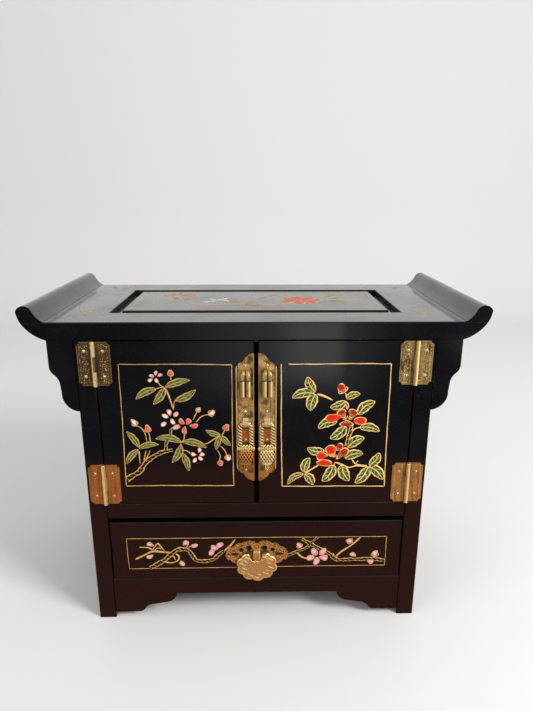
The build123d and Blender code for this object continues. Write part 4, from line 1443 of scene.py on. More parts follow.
def right_door_painting(face: Face) -> list[Painting]:
    """Draw the right door's two red flowers on an upright stem, and their stamens.

    Args:
        face: The face that it is painted on.

    Returns:
        The paintings, in the order that they are made.
    """
    leaves = [
        Leaf((43.3, 198.0), (37.6, 209.8), 6.4, 0.10), Leaf((42.8, 197.0), (26.3, 193.4), 6.6, -0.12),
        Leaf((43.6, 196.4), (40.2, 183.2), 7.6, -0.08), Leaf((66.5, 192.6), (76.6, 196.4), 5.0, 0.10),
        Leaf((66.2, 190.6), (54.6, 185.8), 6.2, 0.10), Leaf((75.8, 179.8), (88.1, 190.1), 7.2, 0.12),
        Leaf((60.4, 174.4), (46.4, 168.9), 6.8, -0.14), Leaf((66.8, 170.8), (55.3, 160.8), 7.2, 0.12),
        Leaf((77.4, 169.4), (92.6, 166.2), 6.0, 0.12), Leaf((69.0, 153.0), (81.6, 160.9), 7.4, 0.12),
        Leaf((67.4, 144.0), (81.0, 147.9), 6.8, 0.12), Leaf((51.6, 150.6), (38.6, 153.0), 6.4, 0.14),
        Leaf((59.0, 138.6), (50.4, 124.6), 7.6, 0.10), Leaf((65.4, 138.6), (71.5, 125.0), 7.8, -0.10),
        Leaf((86.2, 138.0), (93.6, 148.5), 6.6, -0.12), Leaf((86.3, 137.0), (97.5, 125.6), 7.6, 0.10),
        Leaf((85.6, 137.0), (76.0, 122.8), 7.6, 0.10), Leaf((36.8, 132.4), (40.6, 144.6), 6.2, 0.12),
        Leaf((36.2, 131.0), (24.0, 122.2), 4.6, -0.16), Leaf((37.0, 131.0), (43.4, 121.6), 6.4, 0.10),
    ]
    lines = [
        Line([(44.6, 196.4), (48.0, 195.4), (52.4, 193.6), (56.4, 191.4)], 1.5),
        Line([(67.0, 192.0), (66.0, 196.6)], 1.2), Line([(66.6, 190.4), (68.2, 187.4), (67.4, 184.0)], 1.1),
        Line([(63.4, 188.6), (66.4, 187.0), (67.0, 184.2)], 0.9),
        Line([(71.6, 166.0), (74.2, 168.4), (78.0, 169.8)], 1.1),
        Line([(59.6, 141.0), (65.6, 138.6), (70.7, 136.3), (76.8, 137.7), (84.6, 137.0)], 1.2),
        Line([(72.4, 143.6), (75.4, 139.6), (79.1, 138.3), (84.8, 137.8)], 1.0),
        Line([(76.0, 139.8), (77.8, 142.2)], 0.8), Line([(37.0, 131.6), (41.6, 134.6), (47.4, 138.6)], 1.5),
        Line([(59.0, 138.4), (60.4, 140.8)], 0.9), Line([(72.9, 174.0), (77.0, 175.6), (81.0, 175.2)], 0.7),
    ]
    branches = [Branch([(71.3, 171.6), (70.7, 166.0), (69.2, 161.3), (68.3, 154.0)], 2.9, 3.1)]
    petals = [
        Petal((57.6, 177.4), (6.4, 4.2), 190, Bloom.SCARLET),
        Petal((63.8, 180.7), (3.7, 4.0), 120, Bloom.DARK_RED, 0.30),
        Petal((71.7, 180.7), (3.7, 4.1), 60, Bloom.DARK_RED, 0.30),
        Petal((77.2, 175.0), (5.2, 3.6), -3, Bloom.SCARLET),
        Petal((67.4, 172.9), (2.6, 5.7), -90, Bloom.DARK_RED, 0.42),
        Petal((49.6, 146.4), (4.4, 4.0), 180, Bloom.SCARLET), Petal((56.5, 150.5), (4.9, 4.8), 100, Bloom.SCARLET),
        Petal((62.8, 153.3), (3.5, 3.2), 70, Bloom.DARK_RED, 0.30),
        Petal((65.3, 148.1), (6.0, 3.5), 46, Bloom.DARK_RED, 0.34),
        Petal((52.0, 140.5), (2.8, 7.8), -95, Bloom.SCARLET, 0.42),
    ]
    buds = [Bud((62.9, 200.6), [(66.2, 195.6), (65.4, 197.0)], (4.2, 3.4), Bloom.DARK_RED)]
    frames = [Frame(((19.5, 120.7), (17.9, 219.6), (98.0, 219.5), (98.9, 119.9)), 0.74, worn=True)]
    fine = [*stamens((68.0, 176.2), 3.7, (0.1, 3.1)), *stamens((57.4, 144.6), 5.0, (0.5, 2.3))]
    crown = Painting("right_door_stamens", "right_door", face, lines=fine, seed=6, relief=0.55, rich=0.9)
    door = Painting(
        "right_door", "right_door", face, frames, lines, branches, leaves, petals, buds, plump=1.15, seed=5, rich=0.95
    )
    return [crown, door]


def drawer_painting(face: Face) -> list[Painting]:
    """Draw the drawer's two plum branches, one each side of the cloud plate.

    Args:
        face: The face that it is painted on.

    Returns:
        The paintings, in the order that they are made.
    """
    branches = [
        Branch([(-86.0, 47.6), (-79.4, 51.4), (-73.3, 55.6), (-68.6, 60.4), (-63.8, 64.2), (-59.2, 64.9),
            (-55.1, 64.0), (-51.9, 59.4), (-48.7, 54.4), (-42.0, 53.4), (-35.1, 55.0), (-31.0, 59.0),
            (-26.4, 63.0)], 4.0, 2.9),
        Branch([(24.0, 57.6), (31.5, 61.2), (39.8, 65.1), (44.0, 70.0), (48.9, 75.0)], 2.8, 1.8),
        Branch([(35.8, 73.4), (44.1, 67.9), (52.0, 63.2), (58.0, 59.8), (61.8, 55.6), (65.1, 53.4), (72.9, 53.6),
            (82.8, 53.7), (92.6, 54.2), (103.2, 52.4)], 2.9, 3.1),
    ]
    lines = [
        Line([(-26.4, 62.6), (-21.6, 67.2), (-17.1, 73.6)], 1.5),
        Line([(-68.6, 61.8), (-76.0, 62.4), (-83.2, 63.0), (-89.1, 60.2), (-97.6, 55.6)], 1.7),
        Line([(-82.4, 63.6), (-86.9, 66.6), (-93.8, 67.0)], 1.2),
        Line([(-83.8, 63.6), (-81.6, 67.0), (-78.9, 70.2), (-76.7, 67.6), (-73.8, 63.4)], 1.1),
        Line([(-82.0, 64.0), (-79.0, 66.2), (-76.2, 65.2)], 0.8),
        Line([(-75.4, 53.6), (-69.2, 52.2), (-64.0, 54.0), (-62.4, 57.6), (-65.0, 61.0)], 1.3),
        Line([(-72.6, 56.6), (-69.0, 58.6), (-66.4, 57.6), (-65.6, 54.6)], 0.8),
        Line([(-57.4, 65.2), (-55.0, 68.6), (-54.6, 72.4)], 1.0), Line([(-54.8, 66.6), (-52.6, 67.4)], 0.9),
        Line([(32.4, 60.4), (35.4, 57.0), (38.6, 55.4), (41.6, 55.2)], 1.5),
        Line([(63.4, 56.4), (68.7, 61.7), (76.2, 67.3), (82.9, 74.4)], 1.5), Line([(62.6, 57.6), (61.0, 60.0)], 0.9),
        Line([(64.4, 54.6), (64.8, 57.4)], 0.9), Line([(84.0, 54.4), (88.6, 54.8)], 0.8),
    ]
    petals = [
        *cluster([(-84.8, 69.5), (-85.6, 58.2), (-56.8, 70.5), (-50.1, 67.9), (-60.3, 51.6)], Bloom.PINK, (2.9, 2.3)),
        *cluster([(-34.0, 65.6), (-29.9, 68.0), (-36.1, 61.9)], Bloom.PINK, (3.3, 2.7), 8.0),
        *cluster([(46.4, 60.9), (52.8, 60.9), (53.8, 55.6), (48.2, 52.6), (43.4, 55.7)], Bloom.PINK, (3.8, 3.0)),
        *cluster([(77.6, 58.2), (91.8, 51.5)], Bloom.PINK, (2.9, 2.2)),
    ]
    frames = [Frame(((-102.8, 47.0), (-103.5, 75.0), (103.9, 74.9), (103.8, 48.0)), 0.46)]
    buds = [
        Bud((34.0, 67.2), [(36.4, 63.6), (35.4, 64.8)], (2.9, 2.1), Bloom.PINK),
        Bud((74.2, 70.9), [(78.0, 68.8), (76.4, 69.4)], (2.8, 2.2), Bloom.PINK),
        Bud((95.2, 58.8), [(95.2, 54.6), (95.2, 55.8)], (3.2, 2.6), Bloom.PINK),
    ]
    return [Painting("drawer", "drawer", face, frames, lines, branches, petals=petals, buds=buds, seed=21)]


def top_painting(face: Face) -> list[Painting]:
    """Draw the top panel's faded red peony, small red flower and pale blue spray.

    Args:
        face: The face that it is painted on.

    Returns:
        The paintings, in the order that they are made.
    """
    ring = circle(7)
    petals = [
        *rosette((38.0, 1.4), (10.8, 9.8), ring, (7.0, 6.2), 0.0, 0.3),
        *rosette((38.0, 1.0), (4.4, 4.2), ring[:5] + 0.5, (4.6, 4.0), 20 - math.degrees(0.5), 0.4),
        *cluster([(-76.5, 24.4), (-70.6, 27.0), (-66.5, 30.0), (-60.6, 26.4), (-55.8, 24.2)], Bloom.SCARLET,
            (4.4, 3.2)),
        *cluster([(-40.4, -5.0), (-35.6, -1.8), (-31.4, 2.4), (-27.2, 6.4), (-36.6, 5.0), (-26.0, -0.6)],
            Bloom.PALE_BLUE, (4.6, 3.0), 6.0),
    ]
    leaves = [
        Leaf((-63.4, -1.1), (-76.0, -12.8), 6.0, 0.1), Leaf((-62.0, 2.0), (-50.6, 8.4), 6.0, 0.1),
        Leaf((-64.0, 4.0), (-69.6, 17.4), 6.0, 0.1), Leaf((-12.3, -9.5), (-22.0, -1.0), 5.6, 0.1),
        Leaf((-8.0, -10.5), (2.8, -4.6), 5.6, 0.1), Leaf((-10.0, -13.5), (3.0, -24.8), 5.6, 0.1),
        Leaf((9.6, 15.3), (-0.4, 7.4), 6.0, 0.1), Leaf((10.6, 18.3), (21.0, 24.4), 6.0, 0.1),
        Leaf((60.0, 14.5), (72.5, 24.6), 6.0, 0.1), Leaf((62.0, 6.5), (75.5, 10.6), 6.0, 0.1),
        Leaf((61.0, -2.3), (76.0, -10.4), 6.0, 0.1),
    ]
    lines = [
        Line([(-74.0, 22.0), (-66.0, 10.0), (-60.0, -2.0), (-49.5, -14.9), (-34.7, -14.7), (-22.0, -12.0),
            (-6.2, -9.6)], 1.6),
        Line([(-6.2, -9.6), (8.0, -16.0), (24.0, -14.0), (36.0, -8.0)], 1.4),
        Line([(50.0, 4.0), (60.0, 4.5), (74.0, 2.4), (88.0, 8.6)], 1.4),
        Line([(34.0, 12.0), (22.0, 17.0), (10.0, 16.0)], 1.2),
    ]
    frames = [Frame(((-98.5, -34.3), (-98.5, 38.7), (98.5, 38.7), (98.5, -34.3)), 0.8)]
    return [Painting("top_panel", "case", face, frames, lines, leaves=leaves, petals=petals, faded=0.75, seed=31)]


def border_painting(face: Face) -> list[Painting]:
    """Draw the four worn sprays on the border at both ends of the top.

    Args:
        face: The face that it is painted on.

    Returns:
        The paintings, in the order that they are made.
    """
    lines = [
        Line([(-138.4, -29.0), (-131.0, -46.0), (-122.0, -56.0), (-110.6, -65.0)], 1.2),
        Line([(-138.6, 52.8), (-130.0, 61.0), (-122.4, 69.0), (-117.4, 79.0)], 1.2),
        Line([(119.0, -37.0), (126.0, -51.0), (133.4, -67.4)], 1.2),
        Line([(128.0, 68.6), (135.0, 66.0), (142.4, 60.6)], 1.2),
    ]
    leaves = [
        Leaf((-131.0, -46.0), (-121.4, -36.4), 4.6, 0.1), Leaf((-123.0, -55.0), (-134.6, -62.0), 4.6, 0.1),
        Leaf((-130.0, 61.0), (-134.4, 73.8), 4.6, 0.1), Leaf((126.0, -51.0), (121.0, -62.0), 4.6, 0.1),
        Leaf((126.0, -50.0), (135.0, -42.0), 4.6, 0.1), Leaf((134.0, 66.0), (128.0, 56.0), 4.6, 0.1),
    ]
    return [Painting("top_border", "case", face, lines=lines, leaves=leaves, faded=1.0, seed=37)]


# ---------------------------------------------------------------- brass in relief


def cord_loop(
    path: np.ndarray, across: np.ndarray, deep: np.ndarray, centre: Place, lay: int, fade: np.ndarray
) -> Surface:
    """Twist a closed ring of brass.

    At each point of the path an angle t runs round the section: its cosine goes across the
    path and its sine to the front. Both are swollen by 0.16 times the cosine of twice t less
    the turn of the strands, which makes the number of turns "lay" along the whole path.

    Args:
        path: (n, 2) middle line in x and z, without its closing point.
        across: (n,) half widths in the path's plane.
        deep: (n,) half depths.
        centre: The place that the path is measured from.
        lay: Whole turns of the strands.
        fade: (n,) 1 where the ring is twisted and 0 where it is plain.

    Returns:
        The ring.
    """
    right = -left_of(np.roll(path, -1, 0) - np.roll(path, 1, 0))
    angle = circle(14)
    strand = np.cos(2 * angle - lay * circle(len(path))[:, None]) * fade[:, None]
    swell = 1 + 0.16 * strand
    flat = path[:, None] + right[:, None] * (across[:, None] * np.cos(angle) * swell)[..., None]
    rings = np.stack([flat[..., 0], -deep[:, None] * np.sin(angle) * swell, flat[..., 1]], -1) + centre
    return Surface.of_rings(rings, tint=0.5 + 0.42 * strand + 0.30 * (1 - fade[:, None]), loop=True)


def turned_bar(
    middle: Place,
    along: np.ndarray,
    size: np.ndarray,
    half: Point,
    power: Point,
    sides: int,
    tint: Union[float, np.ndarray],
) -> Surface:
    """Turn a bar that lies along x.

    At each place along it an angle runs round the section. Its sine goes to the front and its
    cosine goes up, each raised to its power with the sign kept, times its half size.

    Args:
        middle: The bar's middle.
        along: (n,) places along it.
        size: (n,) share of the full section at each place.
        half: Half depth and half height of the full section.
        power: The two powers; 1 is round.
        sides: Points round the section.
        tint: The number that the finish reads.

    Returns:
        The bar.
    """
    angle = circle(sides)
    rings = np.empty((len(along), sides, 3))
    rings[..., 0] = along[:, None]
    rings[..., 1] = -half[0] * size[:, None] * powered(np.sin(angle), power[0])
    rings[..., 2] = half[1] * size[:, None] * powered(np.cos(angle), power[1])
    return Surface.of_rings(rings + middle, tint=tint)


@dataclass(frozen=True)
class DoorPull:
    """A hanging door pull: a twisted loop, a knurled bar, a vase of woven wire and a tasselled foot.

    Attributes:
        side: left or right.
        pivot: Middle of the bar that it hangs from, in mm.
        loop_half: Half width and half height of the loop's middle line.
        loop_powers: Powers of its superellipse above and below.
        ring_half: Half width and half depth of its twisted ring.
        plain_radius: Radius of the ring where it is plain, in the staple.
        lay: Whole turns of its strands.
        bar: Drop of the lower bar below the pivot, its half length and the pitch of its knurling.
        weave: Width and height of one mesh of the weave.
        collars: Drops of the rings at the vase's neck and foot.
        vase: Drops below the pivot, and the half width at each.
        belly: Drops, and how far the front swells at each.
    """

    side: str
    pivot: Place
    loop_half: Point = (4.25, 9.2)
    loop_powers: Point = (0.42, 0.16)
    ring_half: Point = (1.42, 1.0)
    plain_radius: float = 1.2
    lay: int = 21
    bar: Place = (20.1, 7.1, 1.5)
    weave: Point = (2.26, 3.76)
    collars: Point = (22.0, 32.3)
    vase: tuple[Point, ...] = (
        (21.2, 3.4), (21.9, 4.3), (23.4, 5.1), (25.0, 5.7), (26.6, 5.85), (28.4, 5.55), (30.2, 4.7), (31.6, 3.75),
        (32.2, 3.6), (32.7, 3.5), (33.2, 2.2), (34.0, 2.0), (35.2, 2.3), (36.2, 1.7), (36.4, 0.6),
    )
    belly: tuple[Point, ...] = ((21.2, 0.35), (26.5, 0.95), (32.0, 0.45), (33.5, 0.35), (36.4, 0.1))

    def _loop(self) -> Surface:
        """Bend the loop.

        Its middle line is a superellipse with one power above and another below. Near the top
        of the middle, in the staple, it is round and plain.

        Returns:
            The loop.
        """
        turn = np.linspace(0, 2 * np.pi, 4800)
        wide, tall = self.loop_half
        power = np.where(np.sin(turn) > 0, *self.loop_powers)
        path = np.stack([powered(np.cos(turn), power) * wide, powered(np.sin(turn), power) * tall - tall], 1)
        path = spaced(path, 177)[:-1]
        plain = np.clip((path[:, 1] + 1.4) / 1.2, 0, 1) * np.clip((3.1 - np.abs(path[:, 0])) / 0.8, 0, 1)
        across, deep = (half + (self.plain_radius - half) * plain for half in self.ring_half)
        return cord_loop(path, across, deep, self.pivot, self.lay, 1 - plain)

    def _bar(self) -> Surface:
        """Turn the lower bar, whose section shrinks at both ends and is knurled by a cosine.

        Returns:
            The bar.
        """
        drop, reach, pitch = self.bar
        x, y, z = self.pivot
        along = np.linspace(-reach, reach, 75)
        knurl = 0.5 + 0.5 * np.cos(2 * np.pi * along / pitch)
        size = (1 - np.clip(np.abs(along) / (reach + 0.02), 0, 1) ** 9) ** 0.5 * (0.93 + 0.07 * knurl)
        tint = np.repeat(0.35 + 0.5 * knurl, 20)
        return turned_bar((x, y, z - drop), along, size, (1.25, 1.8), (0.8, 0.7), 20, tint)

    def _vase(self) -> Surface:
        """Weave the vase and its foot.

        Half widths run through a table of drops below the bar. Two sets of slanting wires, each
        a cosine of x over the mesh's width plus or minus z over its height, stand 0.32 mm proud
        of the body; the higher of the two is taken, and one set lies a little over the other.
        The foot has upright flutes.

        Returns:
            The vase.
        """
        drop = np.linspace(self.vase[0][0], self.vase[-1][0], 72)
        half = np.interp(drop, *np.transpose(self.vase))
        swell = np.interp(drop, *np.transpose(self.belly))[:, None]
        angle = np.concatenate([np.linspace(0, np.pi, 62), np.linspace(np.pi, 2 * np.pi, 12)[1:-1]])
        a = half[:, None] * np.cos(angle)
        b = np.broadcast_to(-drop[:, None], a.shape)
        wide, tall = self.weave
        neck, heel = self.collars
        one = np.cos(2 * np.pi * (a / wide + b / tall))
        two = np.cos(2 * np.pi * (a / wide - b / tall)) * 0.85 - 0.08
        woven = np.clip((np.maximum(one, two) - 0.05) / 0.75, 0, 1)
        fluted = 0.5 + 0.5 * np.cos(2 * np.pi * a / 1.15)
        foot = np.clip((-b - heel) / 0.6, 0, 1)
        collar = bell(b, -heel, 0.45) + bell(b, -neck, 0.4)
        relief = np.clip(woven * (1 - foot) + fluted * foot + collar, 0, 1)
        lift = np.sin(angle)
        bulge = np.abs(lift) ** 0.6
        front = (0.65 + swell) * bulge + 0.32 * relief * np.clip(bulge * 1.6, 0, 1)
        rings = np.stack([a, -np.where(lift >= 0, front, -0.75 * bulge), b], -1) + self.pivot
        return Surface.of_rings(rings, tint=np.where(lift >= 0, 0.08 + 0.84 * relief, 0.4))

    def build(self, finish: bpy.types.Material) -> None:
        """Make the pull in place of its CAD node.

        Args:
            finish: Its material.
        """
        name = f"{self.side}_door_pull"
        parts = [self._loop(), self._bar(), self._vase()]
        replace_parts(cast(f"{name}_relief", parts, finish, f"{self.side}_pull"), name)


@dataclass(frozen=True)
class LockStaple:
    """A lock staple: two half-round ribs side by side, each with a painted highlight line, with a chased lobe over
    each.

    Attributes:
        side: left or right.
        middle: Its x, in mm.
        seat: y of the plate's face.
        foot: Bottom of the ribs.
        brow: Top of the ribs.
        crown: Top of the lobes.
        half: Half width.
        stand: How far the ribs' edges stand off the plate.
        rib: How far their middles bulge beyond that.
        gap: Depth of the gap behind them for the shackle.
    """

    side: str
    middle: float
    seat: float = -78.6
    foot: float = 195.6
    brow: float = 208.2
    crown: float = 215.6
    half: float = 4.3
    stand: float = 3.0
    rib: float = 1.6
    gap: float = 2.2

    def build(self, finish: bpy.types.Material) -> None:
        """Make the staple in place of its CAD node.

        Its sections are carried up from the foot to the crown. The front of a section is the
        strap's stand plus the ribs, each a half circle over half the width; above the brow both
        fall away as the root of one minus a power of the share climbed. The back keeps a gap
        for the shackle up to the brow and then meets the plate.

        Args:
            finish: Its material.
        """
        z = np.concatenate([
            [self.foot, self.foot + 0.15],
            np.linspace(self.foot + 0.5, self.brow - 0.05, 26),
            np.linspace(self.brow + 0.05, self.crown, 30),
        ])[:, None]
        share = np.clip((z - self.brow) / (self.crown - self.brow), 0, 1)
        upper = share > 0
        fall = np.sqrt(np.clip(1 - share**2.2, 0.0, 1))
        across, back = np.linspace(-1, 1, 49), np.linspace(1, -1, 14)[1:-1]
        local = 2 * np.abs(across) - 1
        rib = np.sqrt(np.clip(1 - local**2, 0, 1))
        chased = 0.5 + 0.5 * np.cos(across * 26.0) * np.cos(z * 5.2)
        half = self.half * np.where(upper, 0.93 * np.clip(1 - 0.45 * share**3, 0.3, 1), 1.0)
        stand = np.where(upper, 2.6 * fall + 0.15, self.stand)
        bulge = np.where(upper, 1.25 * fall + 0.1, self.rib) * np.clip((z - self.foot) / 0.4, 0.55, 1)
        front = stand + bulge * rib + np.where(upper, 0.16, 0.0) * chased
        behind = np.minimum(self.gap * np.clip(1 - (z - self.brow + 0.8) / 3.0, 0, 1), stand * 0.75)
        x = self.middle + half * np.concatenate([across, back])
        y = self.seat - np.hstack([front, np.repeat(behind, len(back), 1)])
        rings = np.stack([x, y, np.broadcast_to(z, x.shape)], -1)
        # painted shade: the groove between the ribs is kept dark
        groove = 1 - bell(across, 0.0, 0.45 / self.half)
        # painted highlight: a bright line just right of each rib's middle
        smooth = (0.27 + 0.14 * rib + 0.75 * bell(local * np.sign(across), 0.42, 0.22)) * groove
        rough = (0.30 + 0.20 * chased * rib) * groove
        # painted shade: the rows at the brow ledge are kept dark
        ridges = np.where(upper, rough, smooth) * (np.abs(z - self.brow) > 0.4)
        tint = np.hstack([ridges, np.full((len(z), len(back)), 0.3)])
        name = f"{self.side}_lock_staple"
        piece = cast(f"{name}_relief", [Surface.of_rings(rings, tint=tint)], finish, f"{self.side}_door")
        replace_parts(piece, name)


@dataclass(frozen=True)
class DrawerPull:
    """The drawer's scalloped pull: a chased plate with two horns that hangs from a dull round bar kept dark as painted
    shade.

    Attributes:
        pivot: Middle of the bar, in mm.
        middle: Height of the plate's middle above the pivot.
        half: Half sizes of the ellipse that the scallops stand on.
        scallop: Width of a scallop, in degrees about the plate's middle.
        horn: Tip of the right horn, from the pivot.
        notch: Right side of the notch between the horns, from its upper end down.
        lean: How far it hangs out of true, in degrees.
    """

    pivot: Place = (0.0, -80.0, 62.35)
    middle: float = -11.4
    half: Point = (14.9, 13.1)
    scallop: float = 36.0
    horn: Point = (7.1, 0.0)
    notch: tuple[Point, ...] = ((5.0, -1.2), (4.6, -3.2), (4.1, -5.4), (3.6, -6.8), (3.0, -7.2))
    lean: float = 5.0

    @staticmethod
    def _arc(start: np.ndarray, end: np.ndarray, sagitta: float, count: int = 14) -> np.ndarray:
        """Draw a flat arc.

        It is the chord plus the sagitta, to the chord's left, times one minus the square of the
        share from its middle, to the power 0.8.

        Args:
            start: Its start.
            end: Its end.
            sagitta: Its height over the chord.
            count: How many points it has.

        Returns:
            An array of (count, 2) points.
        """
        share = np.linspace(0, 1, count)[:, None]
        chord = end - start
        return start + share * chord + left_of(chord) * sagitta * (1 - (2 * share - 1) ** 2) ** 0.8

    def _outline(self) -> tuple[np.ndarray, np.ndarray]:
        """Draw the plate's edges.

        Returns:
            The notch's line and the outer line, both from the right horn round to the left one.
        """
        turn = np.radians(self.scallop * (1 - np.arange(8)))
        knots = np.stack([np.cos(turn) * self.half[0], np.sin(turn) * self.half[1] + self.middle], 1)
        tip, side, flip = np.array(self.horn), np.array(self.notch), np.array([-1.0, 1.0])
        horn = self._arc(tip, knots[0], 0.75)
        crest = self._arc(side[0], tip, 0.45, 8)
        scallops = [self._arc(a, b, 2.4) for a, b in zip(knots[:-1], knots[1:])]
        outer = np.vstack([crest, horn, *scallops, (horn * flip)[::-1], crest[::-1] * flip])
        notch = np.vstack([side, (side * flip)[::-1]])
        return spaced(notch, 241), spaced(outer, 241)

    def _plate(self) -> Surface:
        """Chase the plate.

        Rings run from the notch to the rim on the front and back again behind. The front's
        height is a rounded edge, a rim bead 1.0 mm in, a second bead 2.9 mm in, petals that
        fan out from the middle and a low dome; each is a function of the distance to the rim
        and of the angle about the plate's middle.

        Returns:
            The plate.
        """
        notch, outer = self._outline()
        share = np.concatenate([np.linspace(0, 0.9, 38), np.linspace(0.91, 1.0, 12)])[:, None, None]
        flat = notch + share * (outer - notch)
        inset, inward = (
            np.linalg.norm(flat[..., None, :] - edge, axis=-1).min(-1) for edge in (outer[::2], notch[::4])
        )
        fan = np.degrees(np.arctan2(flat[..., 1] - self.middle, flat[..., 0])) / self.scallop - 1
        fold = np.abs(np.sin(np.pi * fan)) ** 0.5
        inner = bell(inset, 2.9, 0.45)
        petals = fold * bell(inset, 5.4, 1.8)
        veins = (0.5 + 0.5 * np.cos(6 * np.pi * fan)) * bell(inset, 5.6, 1.4)
        edge = np.clip(np.minimum(inset / 0.7, inward / 0.5), 0, 1) ** 0.5
        dome = 0.35 * np.clip(inset / 11, 0, 1)
        front = 0.50 + 0.45 * bell(inset, 1.0, 0.55) + 0.40 * inner + 0.45 * petals + 0.15 * veins + dome
        hollow = bell(inset, 1.95, 0.4) + 0.7 * bell(inset, 3.7, 0.4)
        # painted highlight: slanting bright dashes on the petal folds, and a bright band 0.55 mm inside the rim
        slant = np.clip(np.cos(1.9 * (0.5 * flat[..., 0] + 0.87 * flat[..., 1])), 0, 1) ** 2
        cuts = slant * bell(inset, 4.6, 1.7) * fold
        tint = 0.55 + 0.20 * bell(inset, 0.55, 0.5) + 0.06 * inner + 0.75 * cuts - 0.12 * hollow - 0.25 * veins * petals
        tint = np.concatenate([np.clip(tint, 0, 1), np.full(tint.shape, 0.45)])
        middle = np.array([0.0, self.middle])
        flat = (flat - middle) @ spun(self.lean) + middle
        rear = 0.75 - 0.6 * (1 - np.clip(inset / 0.6, 0, 1))
        near, far = (np.stack([flat[..., 0], y, flat[..., 1]], -1) for y in (-0.15 - edge * front, rear))
        rings = np.concatenate([near, far[::-1]]) + self.pivot
        return Surface.of_rings(rings.transpose(1, 0, 2), tint=tint.T)

    def _bar(self) -> Surface:
        """Turn the round bar, which narrows at both ends as the root of one minus the tenth power.

        Returns:
            The bar.
        """
        along = np.linspace(-9.4, 9.4, 41)
        size = np.sqrt(1 - np.clip(np.abs(along) / 9.45, 0, 1) ** 10)
        # painted shade: the low tint keeps the bar dark
        return turned_bar(self.pivot, along, size, (1.1, 1.1), (1.0, 1.0), 16, 0.10)

    def build(self, finish: bpy.types.Material) -> None:
        """Make the pull in place of its CAD node."""
        piece = cast("drawer_pull_relief", [self._plate(), self._bar()], finish, "drawer_pull")
        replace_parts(piece, "drawer_pull")


@dataclass(frozen=True)
class Strap:
    """The drawer's staple: a bent strap that runs out of the plate, down over the bar and back.

    Attributes:
        pivot: Middle of the bar, in mm.
        width: Width of the strap.
        thick: Its thickness.
        route: Forward reach and height of its middle line, from the pivot.
        sections: Places across the width from -0.5 to 0.5, the share of the thickness and the tint at each; the tint
            rises at both edges, most at the right, as a painted highlight.
    """

    pivot: Place = (0.0, -80.0, 62.35)
    width: float = 5.2
    thick: float = 0.75
    route: tuple[Point, ...] = (
        (-1.45, 2.3), (-0.2, 2.1), (1.1, 1.7), (1.78, 0.4), (1.85, -2.0), (1.75, -4.6), (0.9, -5.8), (-1.45, -6.0),
    )
    sections: tuple[Place, ...] = (
        (-0.5, 0.45, 0.9), (-0.46, 0.85, 0.7), (-0.4, 1.0, 0.55), (-0.2, 1.0, 0.6), (0.0, 1.0, 0.62),
        (0.2, 1.0, 0.6), (0.4, 1.0, 0.55), (0.46, 0.85, 0.8), (0.5, 0.45, 1.0),
    )

    def build(self, finish: bpy.types.Material) -> None:
        """Make the strap in place of its CAD node.

        A smooth line of forward reach and height is offset by half the thickness to both
        sides; the closed outline is carried across the width, shrunk at both edges.

        Args:
            finish: Its material.
        """
        path = flow(self.route, 7)
        offset = left_of(np.gradient(path, axis=0)) * self.thick / 2
        across, share, tint = np.transpose(self.sections)
        outline = np.stack([np.vstack([path + offset * s, (path - offset * s)[::-1]]) for s in share])
        sideways = np.broadcast_to((across * self.width)[:, None], outline.shape[:2])
        rings = np.stack([sideways, -outline[..., 0], outline[..., 1]], -1) + self.pivot
        surface = Surface.of_rings(rings, tint=np.repeat(tint, outline.shape[1]))
        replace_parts(cast("drawer_staple_strap", [surface], finish, "drawer"), "drawer_staple")


# ---------------------------------------------------------------- linings


@dataclass(frozen=True)
class Lining:
    """A velvet lining glued to a board.

    Attributes:
        node: The CAD node that it replaces.
        body: The body that it rides on.
        board: The board that it is glued to; not used.
        upright: True if it stands on the back panel.
        held: How it is held; not used.
        short: How far its mesh stops short of each edge, in mm.
    """

    node: str
    body: str
    board: str
    upright: bool = False
    held: str = "laid"
    short: float = 0.3

    def build(self, finish: bpy.types.Material) -> None:
        """Make the lining.

        A flat loop runs across it, with its pile side lowered near both edges by a high power of
        the share from the middle and rippled by two slow sines, and is carried along its length
        in even steps; the first and last loops are thinner by the same rule.

        Args:
            finish: Its material.
        """
        lo, hi = (np.array(corner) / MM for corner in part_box(self.node))
        first, second, thin = (0, 2, 1) if self.upright else (0, 1, 2)
        along = np.linspace(lo[second] + self.short, hi[second] - self.short, 40)[:, None]
        across = np.linspace(lo[first] + self.short, hi[first] - self.short, 60)
        far_along, far_across = np.abs(np.linspace(-1, 1, 40))[:, None], np.abs(np.linspace(-1, 1, 60))
        pile = (1 - 0.55 * far_along**60) * (1 - 0.55 * far_across**90)
        ripple = 0.10 * np.sin(across / 17 + along / 31) + 0.08 * np.sin(along / 12.0)
        depth = (hi[thin] - lo[thin]) * pile - np.abs(ripple)
        glued, way = (hi[thin], -1) if self.upright else (lo[thin], 1)
        rings = np.empty((40, 120, 3))
        rings[..., first] = np.concatenate([across, across[::-1]])
        rings[..., second] = along
        rings[..., thin] = glued + way * np.hstack([depth, 0 * depth])
        uv = rings[..., [first, second]] / 100
        piece = cast(f"{self.node}_velvet", [Surface.of_rings(rings, uv)], finish, self.body)
        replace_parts(piece, self.node)


# ---------------------------------------------------------------- cabinet


